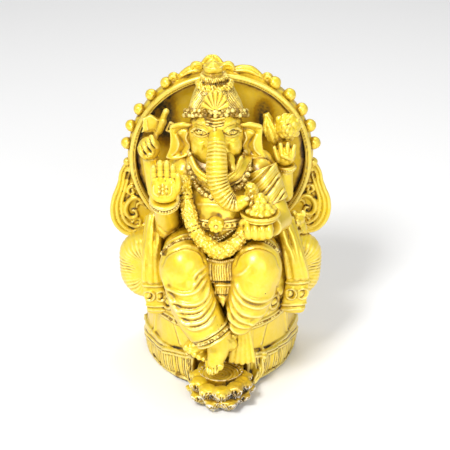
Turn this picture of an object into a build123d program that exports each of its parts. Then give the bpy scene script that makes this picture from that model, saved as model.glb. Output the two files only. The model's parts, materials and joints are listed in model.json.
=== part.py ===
"""Seated elephant-headed idol on a draped throne, with a round halo plate and a lotus footrest.

The idol is a bonded assembly of separately moulded pieces.
X runs to the viewer's right, Y to the back and Z up, from the ground under the middle of the overall box.
"Right" and "left" are the figure's own.
"""

import os

from build123d import *

os.makedirs("parts", exist_ok=True)

# ---------------------------------------------------------------- driving dimensions, mm
halo_to_hips = 48.0  # from the plate's rear face forward to the hip axis
hips_to_lotus = 46.0  # from the hip axis forward to the middle of the footrest
lotus_reach = 32.0  # footrest middle to its front petal tips
overall_depth = halo_to_hips + hips_to_lotus + lotus_reach
seat_height = 80.0  # ground to the top of the seat block

# halo plate, its rim and what stands on the rim
halo_radius = 61.5  # clear opening inside the rim
rim_width = 4.6
rim_depth = 16.0  # front edge of the rim to the rear face
plate_thickness = 7.0
halo_above_seat = 67.0  # centre of the opening above the seat
bead_radius = 4.3
bead_count = 5  # on each side
first_bead_angle = 34.0  # from the vertical
bead_pitch_angle = 11.8
bead_sink = 1.5  # how far a bead sits into the rim's outer edge
wing_out = 14.9  # how far a side scroll stands out beyond the rim
wing_thickness = 9.0
wing_top_angle = 94.0  # from the vertical, where a side scroll starts on the rim
wing_foot_above_seat = 9.0

# throne block, felt and cloth hung over it
felt_thickness = 1.2
felt_inset = 3.0
throne_half_width = 52.0
nose_ahead = 37.0  # the throne's rounded front reaches this far ahead of the hip axis
throne_straight = 17.0  # straight sides behind the rounded front
throne_nose = halo_to_hips + nose_ahead - throne_straight
throne_edge_radius = 4.0
drape_thickness = 4.0
drape_top = seat_height - 8.0
fringe_top = 25.0
fringe_flare = 2.2
fringe_clear = 1.6  # fringe ends above the ground
drape_behind = 26.0  # the cloth stops this far ahead of the plate's rear face
drape_gap = 18.0  # half of the opening left for the shins
fringe_gap = 34.0  # half of the opening left for the footrest

# bolsters beside the hips
bolster_radius = 25.5
bolster_length = 34.0
bolster_edge = 9.0
bolster_from_middle = 46.0
bolster_turn = 25.0  # the ends face a little outwards

# legs
knee_out = 25.0
knee_forward = 42.0

# arms: upper pair and lower pair
lower_arm_radius = 9.0
upper_arm_radius = 6.5
hand_width = 21.0
hand_length = 29.0
hand_thickness = 7.5
bowl_radius = 12.5
bowl_height = 8.5
ear_thickness = 4.0
garland_radius = 4.3

# crown
crown_radius = 21.5
crown_band_height = 6.0
crown_foot = 120.0  # above the seat
dome_height = 6.0

# footrest
lotus_height = 20.0
lotus_top_radius = 16.5
petal_count_upper = 11
petal_count_lower = 9
petal_radius_upper = 6.5
petal_radius_lower = 8.5
lower_tier_top = 10.5
upper_tier_top = 17.5

clear_away = 600.0  # size of the squares that trim the cloth, larger than the idol
fit_gap = 0.15  # glue line between bonded pieces that curve around each other

# ---------------------------------------------------------------- places that follow from them
rear_y = overall_depth / 2
hip_y = rear_y - halo_to_hips
lotus_y = hip_y - hips_to_lotus
halo_z = seat_height + halo_above_seat
rim_outer = halo_radius + rim_width
nose_y = rear_y - throne_straight  # where the throne's rounded front begins


def at(x, y, z):
    """A place on the figure, measured from the hip axis at the height of the seat."""
    return Vector(x, hip_y + y, seat_height + z)


def ellipsoid(centre, radii, turn=(0, 0, 0)):
    """A free-form mass: a ball stretched to three radii, then turned and set at its centre."""
    ball = scale(Sphere(1, mode=Mode.PRIVATE), by=radii, mode=Mode.PRIVATE)
    return ball.moved(Location(tuple(centre), turn))


def section_planes(points):
    """A plane square to the path at each of its points, with no twist from one to the next."""
    planes = []
    across = None
    for i, point in enumerate(points):
        before = points[max(i - 1, 0)]
        after = points[min(i + 1, len(points) - 1)]
        ahead = (after - before).normalized()
        if across is None:
            across = Plane(origin=point, z_dir=ahead).x_dir
        across = (across - ahead * across.dot(ahead)).normalized()
        planes.append(Plane(origin=point, x_dir=across, z_dir=ahead))
    return planes


def round_sections(points, radii):
    """Circles along a path, for a loft."""
    faces = []
    for plane, radius in zip(section_planes(points), radii):
        with BuildSketch(plane) as ring:
            Circle(radius)
        faces.append(ring.sketch.face())
    return faces


def level_sections(points, radii):
    """Level ellipses at each point, for a loft that rises."""
    faces = []
    for point, (across, deep) in zip(points, radii):
        with BuildSketch(Plane(origin=point)) as ring:
            Ellipse(across, deep)
        faces.append(ring.sketch.face())
    return faces


def throne_plan(grow=0.0):
    """The seat block's plan: flat at the back, a long rounded nose in front."""
    half = throne_half_width + grow
    with BuildSketch() as plan:
        with Locations((0, nose_y)):
            Ellipse(half, throne_nose + grow)
        with Locations((0, nose_y)):
            Rectangle(4 * half, 4 * half, align=(Align.CENTER, Align.MIN), mode=Mode.SUBTRACT)
        with Locations((0, nose_y)):
            Rectangle(2 * half, rear_y - nose_y, align=(Align.CENTER, Align.MIN))
    return plan.sketch


pieces = {}


def keep(name, builder):
    """Labels a finished piece and remembers it for export."""
    builder.part.label = name
    pieces[name] = builder.part
    return builder.part


# ================================================================ throne
with BuildPart() as base_felt:
    with BuildSketch():
        add(throne_plan(-felt_inset))
        with Locations((0, lotus_y)):
            Circle(lotus_top_radius)
    extrude(amount=felt_thickness)
keep("base_felt", base_felt)

with BuildPart() as seat_block:
    with BuildSketch(Plane.XY.offset(felt_thickness)):
        add(throne_plan())
    extrude(amount=seat_height - felt_thickness)
    fillet(seat_block.faces().sort_by(Axis.Z)[-1].edges(), throne_edge_radius)
keep("seat_block", seat_block)


# ================================================================ halo
halo_plane = Plane(origin=(0, rear_y, halo_z), x_dir=(1, 0, 0), z_dir=(0, -1, 0))

with BuildPart() as halo_plate:
    with BuildSketch(halo_plane):
        Circle(halo_radius - fit_gap)
        with Locations((0, -halo_above_seat / 2)):
            Rectangle(2 * throne_half_width - 20, halo_above_seat, mode=Mode.ADD)
    extrude(amount=plate_thickness)
    with BuildSketch(halo_plane):
        Circle(3 * halo_radius)
        Circle(halo_radius - fit_gap, mode=Mode.SUBTRACT)
    extrude(amount=plate_thickness, mode=Mode.SUBTRACT)
    with BuildSketch(Plane(origin=(0, rear_y, seat_height), x_dir=(1, 0, 0), z_dir=(0, -1, 0))):
        Rectangle(6 * halo_radius, 4 * halo_radius, align=(Align.CENTER, Align.MAX))
    extrude(amount=plate_thickness, mode=Mode.SUBTRACT)
keep("halo_plate", halo_plate)

with BuildPart() as halo_rim:
    with BuildSketch(halo_plane):
        Circle(rim_outer)
        Circle(halo_radius, mode=Mode.SUBTRACT)
        with Locations((0, -halo_above_seat - rim_outer)):
            Rectangle(4 * rim_outer, 2 * rim_outer, mode=Mode.SUBTRACT)
    extrude(amount=rim_depth)
    rim_edges = halo_rim.edges().filter_by(GeomType.CIRCLE).group_by(Axis.Y)[0]
    fillet(rim_edges, rim_width * 0.3)
keep("halo_rim", halo_rim)

bead_track = rim_outer + bead_radius - bead_sink
bead_y = rear_y - rim_depth * 0.45
halo_axis = Axis((0, rear_y, halo_z), (0, 1, 0))

with BuildPart() as bead:
    with Locations((0, bead_y, halo_z + bead_track)):
        Sphere(bead_radius)
    with BuildSketch(halo_plane):
        Circle(rim_outer + fit_gap)
    extrude(amount=rim_depth, mode=Mode.SUBTRACT)

with BuildPart() as halo_beads:
    for side in (-1, 1):
        for i in range(bead_count):
            add(bead.part.rotate(halo_axis, side * (first_bead_angle + i * bead_pitch_angle)))
keep("halo_beads", halo_beads)


def wing(side):
    """A flat side scroll: one long bulging edge outside, the rim's round inside."""
    reach = rim_outer + wing_out
    foot_z = seat_height + wing_foot_above_seat
    start = Vector(0, 0, rim_outer).rotate(Axis.Y, wing_top_angle)
    start = (start.X, halo_z + start.Z)
    with BuildPart() as plate:
        with BuildSketch(Plane(origin=(0, rear_y, 0), x_dir=(1, 0, 0), z_dir=(0, -1, 0))):
            with BuildLine():
                top = Line((start[0] - 4, start[1]), (start[0] + 3, start[1] + 1))
                Spline(
                    top @ 1,
                    (reach - 4, halo_z - 18),
                    (reach, halo_z - 36),
                    (reach - 4, foot_z + 11),
                    (reach - 14, foot_z),
                )
                Line((reach - 14, foot_z), (rim_outer - 22, foot_z))
                Line((rim_outer - 22, foot_z), top @ 0)
            make_face()
            with Locations((0, halo_z)):
                Circle(rim_outer + fit_gap, mode=Mode.SUBTRACT)
        extrude(amount=wing_thickness)
        if side < 0:
            mirror(about=Plane.YZ, mode=Mode.REPLACE)
    return plate


keep("wing_scroll_left", wing(1))
keep("wing_scroll_right", wing(-1))

crest_z = halo_z + rim_outer
with BuildPart() as crest_boss:
    with BuildSketch(Plane(origin=(-5.0, rear_y, crest_z), x_dir=(1, 0, 0), z_dir=(0, -1, 0))):
        with BuildLine():
            Line((-13, -3), (13, -3))
            Spline((13, -3), (15.5, 1.5), (11, 5), (0, 8.2), (-11, 5), (-15.5, 1.5), (-13, -3))
        make_face()
    extrude(amount=wing_thickness + 1)
    add(halo_rim.part, mode=Mode.SUBTRACT)
keep("crest_boss", crest_boss)


def crest_arm(side):
    """A curled leaf that runs down the rim from the crest and ends in a volute."""
    with BuildPart() as leaf:
        with BuildSketch(halo_plane):
            with BuildLine():
                CenterArc((0, 0), rim_outer + 7.0, 62, 14)
                CenterArc((0, 0), rim_outer + fit_gap, 62, 14)
                Line(
                    (rim_outer + fit_gap) * Vector(1, 0).rotate(Axis.Z, 62),
                    (rim_outer + 7.0) * Vector(1, 0).rotate(Axis.Z, 62),
                )
                Line(
                    (rim_outer + fit_gap) * Vector(1, 0).rotate(Axis.Z, 76),
                    (rim_outer + 7.0) * Vector(1, 0).rotate(Axis.Z, 76),
                )
            make_face()
        extrude(amount=wing_thickness)
        if side < 0:
            mirror(about=Plane.YZ, mode=Mode.REPLACE)
        add(crest_boss.part, mode=Mode.SUBTRACT)
        add(halo_beads.part, mode=Mode.SUBTRACT)
    return leaf


keep("crest_leaf_left", crest_arm(1))
keep("crest_leaf_right", crest_arm(-1))


# ================================================================ body
belly = at(-1, -11, 46)
chest = at(-1, -1, 71)

with BuildPart() as torso:
    add(ellipsoid(at(0, -3, 17), (35, 23, 19)))
    add(ellipsoid(belly, (27, 26, 27)))
    add(ellipsoid(chest, (28, 16, 19)))
    add(seat_block.part, mode=Mode.SUBTRACT)
keep("torso", torso)


def cut(*builders):
    """Trims the piece being made so it butts against pieces already made."""
    for builder in builders:
        add(builder.part, mode=Mode.SUBTRACT)


def leg(side, shin_points, shin_radii):
    """A trousered leg: thigh forward from the hip, round knee, shin down to the hem."""
    thigh = [at(side * 17, -4, 20), at(side * 22, -22, 21), at(side * knee_out, -knee_forward, 19)]
    with BuildPart() as limb:
        loft(sections=round_sections(thigh, [17, 19.5, 17]))
        add(ellipsoid(at(side * knee_out, -knee_forward - 1, 19), (19, 17, 20)))
        loft(sections=round_sections(shin_points, shin_radii))
    return limb


shin_top = knee_out - 1
right_shin = [at(-shin_top, -knee_forward - 1, 14), at(-17, -50, -7), at(-7, -54, -24)]
left_shin = [at(shin_top, -knee_forward - 1, 14), at(17, -45, -7), at(6, -43, -24)]

with BuildPart() as leg_right:
    add(leg(-1, right_shin, [17.5, 17.5, 15.5]).part)
    cut(torso, seat_block)
keep("leg_right", leg_right)

with BuildPart() as leg_left:
    add(leg(1, left_shin, [17.5, 16.5, 13.0]).part)
    cut(torso, seat_block, leg_right)
keep("leg_left", leg_left)


def tube(points, radii):
    """A round bar through the points."""
    loft(sections=round_sections(points, radii))


def bent_arm(shoulder, elbow, wrist, radius, taper):
    """Upper arm and forearm meeting at a round elbow."""
    tube([shoulder, elbow], [radius + 0.5, radius])
    tube([elbow, wrist], [radius, radius * taper])
    with Locations(elbow, shoulder):
        Sphere(radius + 0.05)


with BuildPart() as anklet:
    tube([at(-7, -54, -24), at(-4.2, -54.8, -28.8)], [14.5, 13.0])
    cut(leg_right, leg_left, seat_block)
keep("anklet", anklet)

with BuildPart() as foot_right:
    tube([at(-5, -54.5, -27), at(-3.5, -54.5, -38), at(-4.5, -57, -46)], [9.5, 9.5, 9.5])
    add(ellipsoid(at(-5.5, -59, -51.5), (10.5, 9, 8)))
    add(ellipsoid(at(4, -50.5, -39), (8.5, 7, 7)))
    with BuildSketch(Plane.XY.offset(lotus_height)):
        Rectangle(200, 300)
    extrude(amount=-60, mode=Mode.SUBTRACT)
    cut(anklet, leg_left, leg_right)
keep("foot_right", foot_right)

with BuildPart() as foot_left:
    tube([at(3, -43, -32), at(-7, -43, -39), at(-17, -43, -45)], [9.0, 8.5, 7.0])
    with BuildSketch(Plane.XY.offset(lotus_height + 2)):
        Rectangle(200, 300)
    extrude(amount=-60, mode=Mode.SUBTRACT)
    cut(leg_left, leg_right, anklet, foot_right, seat_block)
keep("foot_left", foot_left)

# ================================================================ clothes and ornaments on the body
with BuildPart() as waist_belt:
    tube([at(-17, -27, 34), at(-2, -37, 27.5), at(13, -27, 34)], [3.4, 3.4, 3.4])
    cut(torso, leg_right, leg_left)
keep("waist_belt", waist_belt)

with BuildPart() as waist_sash:
    add(ellipsoid(at(-2, -40, 25), (6.5, 5, 5)))
    tube([at(-1, -38, 24), at(0, -42, 6), at(1, -47, -6)], [7.5, 8.5, 5.5])
    add(ellipsoid(at(1, -48, -5), (6.5, 5.5, 6)))
    cut(waist_belt, torso, leg_right, leg_left)
keep("waist_sash", waist_sash)

with BuildPart() as cloth_fan:
    with BuildSketch(Plane(origin=at(10, -42, -40), x_dir=(1, 0, 0), z_dir=(0, -1, 0.1))):
        with BuildLine():
            Polyline((-2, 16), (5, 16), (14, -14), (-4, -14), (-2, 16))
        make_face()
    extrude(amount=7)
    cut(leg_left, leg_right, anklet, foot_right, foot_left, seat_block)
keep("cloth_fan", cloth_fan)


def wrapped_band(low, high, proud):
    """A level band standing a little proud of the belly."""
    add(ellipsoid(belly, (27 + proud, 26 + proud, 27 + proud)))
    with BuildSketch(Plane(origin=at(0, 0, low))) as slab:
        Rectangle(200, 200)
    extrude(slab.sketch, amount=high - low, mode=Mode.INTERSECT)


with BuildPart() as belly_band:
    wrapped_band(46, 53, 2)
    cut(torso, leg_right, leg_left)
keep("belly_band", belly_band)

with BuildPart() as belly_rosette:
    add(ellipsoid(at(-3, -37.5, 50.5), (6, 4.5, 6)))
    cut(torso, belly_band)
keep("belly_rosette", belly_rosette)

with BuildPart() as collar:
    add(ellipsoid(chest, (30.5, 19, 21.5)))
    add(ellipsoid(belly, (29.2, 28.2, 29.2)))
    with BuildSketch(Plane(origin=at(-1, -60, 90), x_dir=(1, 0, 0), z_dir=(0, -1, 0))):
        Ellipse(23.5, 21.5)
    extrude(amount=-58, mode=Mode.INTERSECT)
    cut(torso)
keep("collar", collar)

with BuildPart() as head:
    add(ellipsoid(at(-3, 2, 103), (19.5, 19, 20)))
    add(ellipsoid(at(-3, -7, 92), (16, 11, 12)))
    cut(torso, collar)
keep("head", head)

trunk_line = [
    at(-3, -19, 110),
    at(-2.6, -27, 100),
    at(-2.4, -32, 90),
    at(-1.5, -35, 81),
    at(3, -37.5, 72.5),
    at(10.5, -39, 68.5),
    at(17, -40, 69),
]
with BuildPart() as trunk:
    tube(trunk_line, [8, 8, 7.6, 7, 6.3, 5.8, 5.2])
    cut(head, collar, torso)
keep("trunk", trunk)

with BuildPart() as bead_necklace:
    tube([at(-20, -14, 89), at(-15, -20, 82), at(-3, -24, 77), at(9, -20, 82), at(14, -14, 89)], [2.4] * 5)
    cut(head, collar, torso, trunk)
keep("bead_necklace", bead_necklace)

with BuildPart() as tusk_left:
    tube([at(6, -14, 90), at(10, -23, 84)], [3.0, 2.4])
    cut(head, trunk, collar, bead_necklace)
keep("tusk_left", tusk_left)


def ear(side):
    """A hanging ear: a folded sheet, square at the top, drawn to a point below."""
    with BuildSketch(Plane(origin=at(-3, 2, 103), x_dir=(side, 0, 0), z_dir=(0, -side, 0))) as outline:
        with BuildLine():
            Polyline((10, 7), (28, 6))
            Spline((28, 6), (31, -4), (33, -14), (36, -22), (28, -21), (20, -17))
            Line((20, -17), (10, 7))
        make_face()
    extrude(outline.sketch, amount=ear_thickness * side)
    cut(head, torso, collar)


with BuildPart() as ear_left:
    ear(1)
keep("ear_left", ear_left)
with BuildPart() as ear_right:
    ear(-1)
keep("ear_right", ear_right)

# ================================================================ crown
with BuildPart() as crown_band:
    with BuildSketch(Plane(origin=at(-3, 7.5, crown_foot))):
        Circle(crown_radius)
    extrude(amount=crown_band_height, taper=3)
    cut(head, trunk, ear_left, ear_right)
keep("crown_band", crown_band)

with BuildPart() as crown_dome:
    top = crown_foot + crown_band_height
    dome = [at(-3, 8, top), at(-3.5, 11.5, top + dome_height / 2), at(-4, 15, top + dome_height)]
    loft(sections=level_sections(dome, [(19, 19), (16.5, 16), (12.5, 12)]))
    cut(crown_band, head)
keep("crown_dome", crown_dome)

with BuildPart() as crown_tiers:
    with BuildSketch(Plane(origin=at(-4, 15, top + dome_height))):
        Ellipse(13.2, 12.8)
    extrude(amount=3)
    with BuildSketch(Plane(origin=at(-4.5, 17, top + dome_height + 3))):
        Ellipse(9.8, 9.5)
    extrude(amount=4.5)
keep("crown_tiers", crown_tiers)

with BuildPart() as crown_knob:
    add(ellipsoid(at(-5, 19.5, top + dome_height + 8), (7.2, 7.2, 8)))
    cut(crown_tiers)
keep("crown_knob", crown_knob)

with BuildPart() as crown_shell:
    with BuildSketch(Plane(origin=at(-3.5, -13, top - 3), x_dir=(1, 0, 0), z_dir=(0, -1, 0.35))):
        Ellipse(9.5, 12.5)
        Rectangle(40, 30, align=(Align.CENTER, Align.MAX), mode=Mode.SUBTRACT)
    extrude(amount=4)
    cut(crown_band, crown_dome, head, trunk)
keep("crown_shell", crown_shell)

# ================================================================ lower arms
bless_elbow = at(-36.5, -15, 37)
bless_wrist = at(-38, -29, 63)
with BuildPart() as blessing_arm:
    bent_arm(at(-25, -2, 76), bless_elbow, bless_wrist, lower_arm_radius, 0.92)
    cut(torso, leg_right, collar, ear_right, belly_band, head)
keep("blessing_arm", blessing_arm)

with BuildPart() as blessing_cuff:
    tube([bless_wrist, at(-38.3, -31.4, 68)], [10.2, 9.6])
    cut(blessing_arm)
keep("blessing_cuff", blessing_cuff)

with BuildPart() as blessing_hand:
    palm = Plane(origin=at(-38.3, -31, 68), x_dir=(1, 0, 0), z_dir=(0, -1, 0))
    with BuildSketch(palm):
        with Locations((0, hand_length / 2)):
            RectangleRounded(hand_width, hand_length, 5)
    extrude(amount=hand_thickness)
    cut(blessing_cuff, blessing_arm)
keep("blessing_hand", blessing_hand)

bowl_elbow = at(41, -16, 44)
bowl_wrist = at(35, -34, 47)
with BuildPart() as bowl_arm:
    bent_arm(at(27, -2, 76), bowl_elbow, bowl_wrist, lower_arm_radius, 0.8)
    cut(torso, leg_left, collar, ear_left, belly_band, head)
keep("bowl_arm", bowl_arm)

bowl_at = at(27, -42, 54)
with BuildPart() as sweet_bowl:
    bowl_levels = [bowl_at, bowl_at + Vector(0, 0, bowl_height)]
    loft(sections=level_sections(bowl_levels, [(8, 8), (bowl_radius, bowl_radius)]))
    cut(bowl_arm, trunk)
keep("sweet_bowl", sweet_bowl)

with BuildPart() as bowl_hand:
    add(ellipsoid(at(26, -41, 49), (12, 9.5, 8)))
    cut(sweet_bowl, bowl_arm, leg_left, torso, waist_belt)
keep("bowl_hand", bowl_hand)

with BuildPart() as sweets:
    add(ellipsoid(bowl_at + Vector(-1, 2, bowl_height + 4.5), (10.5, 10, 9)))
    cut(sweet_bowl, trunk, bowl_arm)
keep("sweets", sweets)

# ================================================================ upper arms and what they hold
with BuildPart() as axe_arm:
    bent_arm(at(-26, 7, 80), at(-46, 15, 51), at(-50, 18, 76), upper_arm_radius, 0.9)
    cut(torso, blessing_arm, collar, ear_right, head)
keep("axe_arm", axe_arm)

with BuildPart() as axe_hand:
    add(ellipsoid(at(-50.5, 16, 84), (8, 7.5, 8.5)))
    cut(axe_arm)
keep("axe_hand", axe_hand)

with BuildPart() as axe:
    tube([at(-47.5, 20, 88), at(-39, 27, 107)], [2.0, 2.0])
    with BuildSketch(Plane(origin=at(-44, 25.5, 99), x_dir=(1, 0, -0.15), z_dir=(0, -1, 0))):
        with BuildLine():
            Polyline((3, 2.5), (-6, 6), (-12, 3))
            Spline((-12, 3), (-10, -3), (-11.5, -8))
            Polyline((-11.5, -8), (-5, -4), (1, -3), (3, 2.5))
        make_face()
    extrude(amount=3.5)
    cut(axe_hand, ear_right, crown_band)
keep("axe", axe)

with BuildPart() as flower_arm:
    bent_arm(at(29, 7, 80), at(46, 17, 48), at(46, 16.5, 67), upper_arm_radius, 0.9)
    cut(torso, bowl_arm, collar, ear_left, head)
keep("flower_arm", flower_arm)

with BuildPart() as flower_cuff:
    tube([at(46, 16.5, 67), at(46, 16.4, 71.5)], [7.5, 7.5])
    cut(flower_arm)
keep("flower_cuff", flower_cuff)

with BuildPart() as flower_hand:
    add(ellipsoid(at(45.5, 15.5, 80), (8, 7, 9.5)))
    cut(flower_cuff, flower_arm)
keep("flower_hand", flower_hand)

with BuildPart() as flower:
    add(ellipsoid(at(47, 20, 99), (9.5, 7.5, 9.5)))
    tube([at(40, 19, 88), at(36, 20, 98), at(32, 22, 108)], [3.6, 4.2, 2.2])
    cut(flower_hand)
keep("flower", flower)

with BuildPart() as shoulder_sash:
    tube([at(27, -2, 76), at(36.5, -11.5, 54)], [13.0, 12.0])
    cut(torso, bowl_arm, flower_arm, collar, ear_left, belly_band, head, leg_left, sweets)
keep("shoulder_sash", shoulder_sash)

with BuildPart() as garland:
    strand = [
        at(-24, -22, 74),
        at(-22, -29, 60),
        at(-16, -38, 44),
        at(-3, -43.5, 33.5),
        at(10, -41, 37),
        at(17.5, -35, 48),
        at(20.5, -27.5, 62),
        at(21, -24, 72),
    ]
    tube(strand, [garland_radius] * 8)
    cut(torso, collar, leg_right, leg_left, bowl_hand, sweet_bowl, sweets, trunk, belly_band)
    cut(belly_rosette, blessing_arm, blessing_cuff, bowl_arm, waist_belt, waist_sash, shoulder_sash)
keep("garland", garland)


# ================================================================ cloth over the throne
def throne_cloth(side):
    """Cloth hung over the throne's side with a thicker fringe below it."""
    for low, high, grow, gap in (
        (fringe_top, drape_top, drape_thickness, drape_gap),
        (fringe_clear, fringe_top, drape_thickness + fringe_flare, fringe_gap),
    ):
        with BuildSketch(Plane.XY.offset(low)) as ring:
            add(throne_plan(grow))
            with Locations((side * gap, rear_y)):
                beyond_gap = (Align.MAX if side > 0 else Align.MIN, Align.CENTER)
                Rectangle(clear_away, clear_away, align=beyond_gap, mode=Mode.SUBTRACT)
            with Locations((0, rear_y - drape_behind)):
                Rectangle(clear_away, clear_away, align=(Align.CENTER, Align.MIN), mode=Mode.SUBTRACT)
        extrude(ring.sketch, amount=high - low)
    cut(seat_block, base_felt, leg_right, leg_left, foot_left, foot_right, anklet, cloth_fan)


with BuildPart() as drape_left:
    throne_cloth(1)
keep("drape_left", drape_left)
with BuildPart() as drape_right:
    throne_cloth(-1)
keep("drape_right", drape_right)


with BuildPart() as bolster_roll:
    Cylinder(bolster_radius, bolster_length)
    fillet(bolster_roll.edges().filter_by(GeomType.CIRCLE), bolster_edge)


def placed_bolster(side, *neighbours):
    """The cushion set beside the hips and trimmed round the throne."""
    turned = Location((0, 0, 0), (0, 0, side * bolster_turn))
    spot = Location(tuple(at(side * bolster_from_middle, 2, 0))) * turned * Location((0, 0, 0), (90, 0, 0))
    add(bolster_roll.part.moved(spot))
    cut(seat_block, torso, *neighbours)


with BuildPart() as bolster_right:
    placed_bolster(-1, leg_right, drape_right, blessing_arm)
keep("bolster_right", bolster_right)
with BuildPart() as bolster_left:
    placed_bolster(1, leg_left, drape_left, bowl_arm)
keep("bolster_left", bolster_left)


def flat_sections(points, width, thickness):
    """Rounded flat sections along a path, for a hanging strip."""
    faces = []
    for point, next_point in zip(points, points[1:] + [points[-1] * 2 - points[-2]]):
        square_on = Plane(origin=point, x_dir=(1, 0, 0), z_dir=(next_point - point).normalized())
        with BuildSketch(square_on) as strip:
            RectangleRounded(width, thickness, thickness * 0.4)
        faces.append(strip.sketch.face())
    return faces


with BuildPart() as scarf_right:
    fall = [at(-46, -8, 42), at(-48, -14, 30), at(-48.5, -20.5, 15)]
    fall += [at(-48, -21, 0), at(-46, -18, -14), at(-44, -15, -30)]
    loft(sections=flat_sections(fall, 13, 4.5))
    cut(bolster_right, drape_right, leg_right, blessing_arm, torso, seat_block)
keep("scarf_right", scarf_right)

with BuildPart() as scarf_left:
    fall = [at(45, -8, 40), at(49, -12, 28), at(53, -17, 14)]
    fall += [at(55, -16.5, 0), at(55, -15, -14), at(52, -14, -30)]
    loft(sections=flat_sections(fall, 14, 4.5))
    cut(bolster_left, drape_left, leg_left, bowl_arm, torso, seat_block)
keep("scarf_left", scarf_left)

with BuildPart() as mouse:
    add(ellipsoid(at(57, 3, 24), (5.5, 6.5, 11)))
    add(ellipsoid(at(55.4, 3, 34.5), (5, 6, 5)))
    cut(bolster_left, scarf_left)
keep("mouse", mouse)

# ================================================================ lotus footrest
with BuildPart() as lotus_core:
    with BuildSketch(Plane(origin=(0, lotus_y, felt_thickness))):
        Circle(lotus_top_radius)
    extrude(amount=lotus_height - felt_thickness)
    cut(seat_block)
keep("lotus_core", lotus_core)


def petal_ring(count, petal_radius, reach, low, high):
    """A ring of broad petals round the footrest."""
    with BuildSketch(Plane(origin=(0, lotus_y, low))) as plan:
        Circle(reach - petal_radius * 0.8)
        with PolarLocations(reach - petal_radius, count, start_angle=-90):
            Circle(petal_radius)
    extrude(plan.sketch, amount=high - low)
    cut(lotus_core, seat_block, drape_left, drape_right, foot_left, cloth_fan)


with BuildPart() as lotus_petals_lower:
    petal_ring(petal_count_lower, petal_radius_lower, lotus_reach, felt_thickness, lower_tier_top)
keep("lotus_petals_lower", lotus_petals_lower)
with BuildPart() as lotus_petals_upper:
    petal_ring(petal_count_upper, petal_radius_upper, lotus_reach - 5, lower_tier_top, upper_tier_top)
keep("lotus_petals_upper", lotus_petals_upper)

for name, part in pieces.items():
    export_step(part, f"parts/{name}.step")
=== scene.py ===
import json
import math

import bmesh
import bpy
import numpy as np
from bpy.props import FloatProperty, FloatVectorProperty, IntProperty, PointerProperty
from mathutils import Euler, Matrix, Vector
from mathutils.bvhtree import BVHTree

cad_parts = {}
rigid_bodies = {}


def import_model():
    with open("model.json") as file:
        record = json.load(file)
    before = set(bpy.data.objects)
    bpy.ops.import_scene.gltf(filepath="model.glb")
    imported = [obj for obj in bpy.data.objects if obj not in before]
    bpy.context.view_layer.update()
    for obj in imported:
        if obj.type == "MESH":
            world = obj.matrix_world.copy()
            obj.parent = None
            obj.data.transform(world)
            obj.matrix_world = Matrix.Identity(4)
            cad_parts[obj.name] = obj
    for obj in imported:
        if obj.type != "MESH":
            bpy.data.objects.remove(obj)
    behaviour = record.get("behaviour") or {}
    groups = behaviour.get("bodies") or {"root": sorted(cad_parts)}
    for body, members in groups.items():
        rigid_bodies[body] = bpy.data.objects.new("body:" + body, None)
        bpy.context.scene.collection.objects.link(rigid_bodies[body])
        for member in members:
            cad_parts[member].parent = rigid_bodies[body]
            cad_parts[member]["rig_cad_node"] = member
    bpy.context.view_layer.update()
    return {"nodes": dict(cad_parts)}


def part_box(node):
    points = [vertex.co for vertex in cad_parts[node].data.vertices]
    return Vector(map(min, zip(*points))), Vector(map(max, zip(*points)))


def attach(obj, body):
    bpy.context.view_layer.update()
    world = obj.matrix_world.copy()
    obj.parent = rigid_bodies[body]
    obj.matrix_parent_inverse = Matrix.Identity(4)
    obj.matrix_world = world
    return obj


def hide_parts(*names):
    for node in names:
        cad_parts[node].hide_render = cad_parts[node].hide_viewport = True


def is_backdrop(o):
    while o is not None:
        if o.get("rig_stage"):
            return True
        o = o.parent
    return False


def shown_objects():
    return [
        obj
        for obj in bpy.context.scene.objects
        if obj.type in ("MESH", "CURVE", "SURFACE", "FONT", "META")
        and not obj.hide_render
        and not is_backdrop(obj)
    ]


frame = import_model()

bl_info = {
    "name": "Seated idol",
    "version": (1, 0, 0),
    "blender": (4, 5, 0),
    "location": "View3D > Sidebar > Idol",
    "description": "Sculpts a gold-painted seated elephant-headed idol over its fixed frame",
    "category": "Object",
}

MM = 0.001
TILT = math.radians(27)  # the front view looks down by this much
LOOK = Vector((0, math.cos(TILT), -math.sin(TILT)))
BACKWARDS = Vector((0, 1, 0))
AROUND = [
    (a, b, c) for a in (-1, 0, 1) for b in (-1, 0, 1) for c in (-1, 0, 1)
]  # steps to a grid's next cells
CROWN_TILT = 0.40  # the crown's front sits this much higher than its back, per millimetre of depth


def corners(node):
    """Lowest and highest corner of a frame node, in millimetres."""
    low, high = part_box(node)
    return low / MM, high / MM


def middle(node):
    """Centre of a frame node's box, in millimetres."""
    low, high = corners(node)
    return (low + high) / 2


THRONE_LOW, THRONE_HIGH = corners("seat_block")
SEAT_TOP = THRONE_HIGH.z
NOSE_Y = THRONE_HIGH.y - 17.0  # the throne's front is rounded about this depth
NOSE_RADIUS = 59.16  # mean radius of its rounded front
HIP_Y = corners("torso")[1].y - 20.0  # the hip axis, 20 mm in front of the figure's back
HALO = middle("halo_rim")
RIM_OUTER = (corners("halo_rim")[1].x - corners("halo_rim")[0].x) / 2
RIM_INNER = (corners("halo_plate")[1].x - corners("halo_plate")[0].x) / 2
LOTUS = Vector((0, middle("lotus_petals_lower").y, 0))


def at(x, y, z):
    """A place on the figure in millimetres, measured from the hip axis at the height of the seat."""
    return Vector((x, HIP_Y + y, SEAT_TOP + z))


# ---------------------------------------------------------------- settings a user would change


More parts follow.
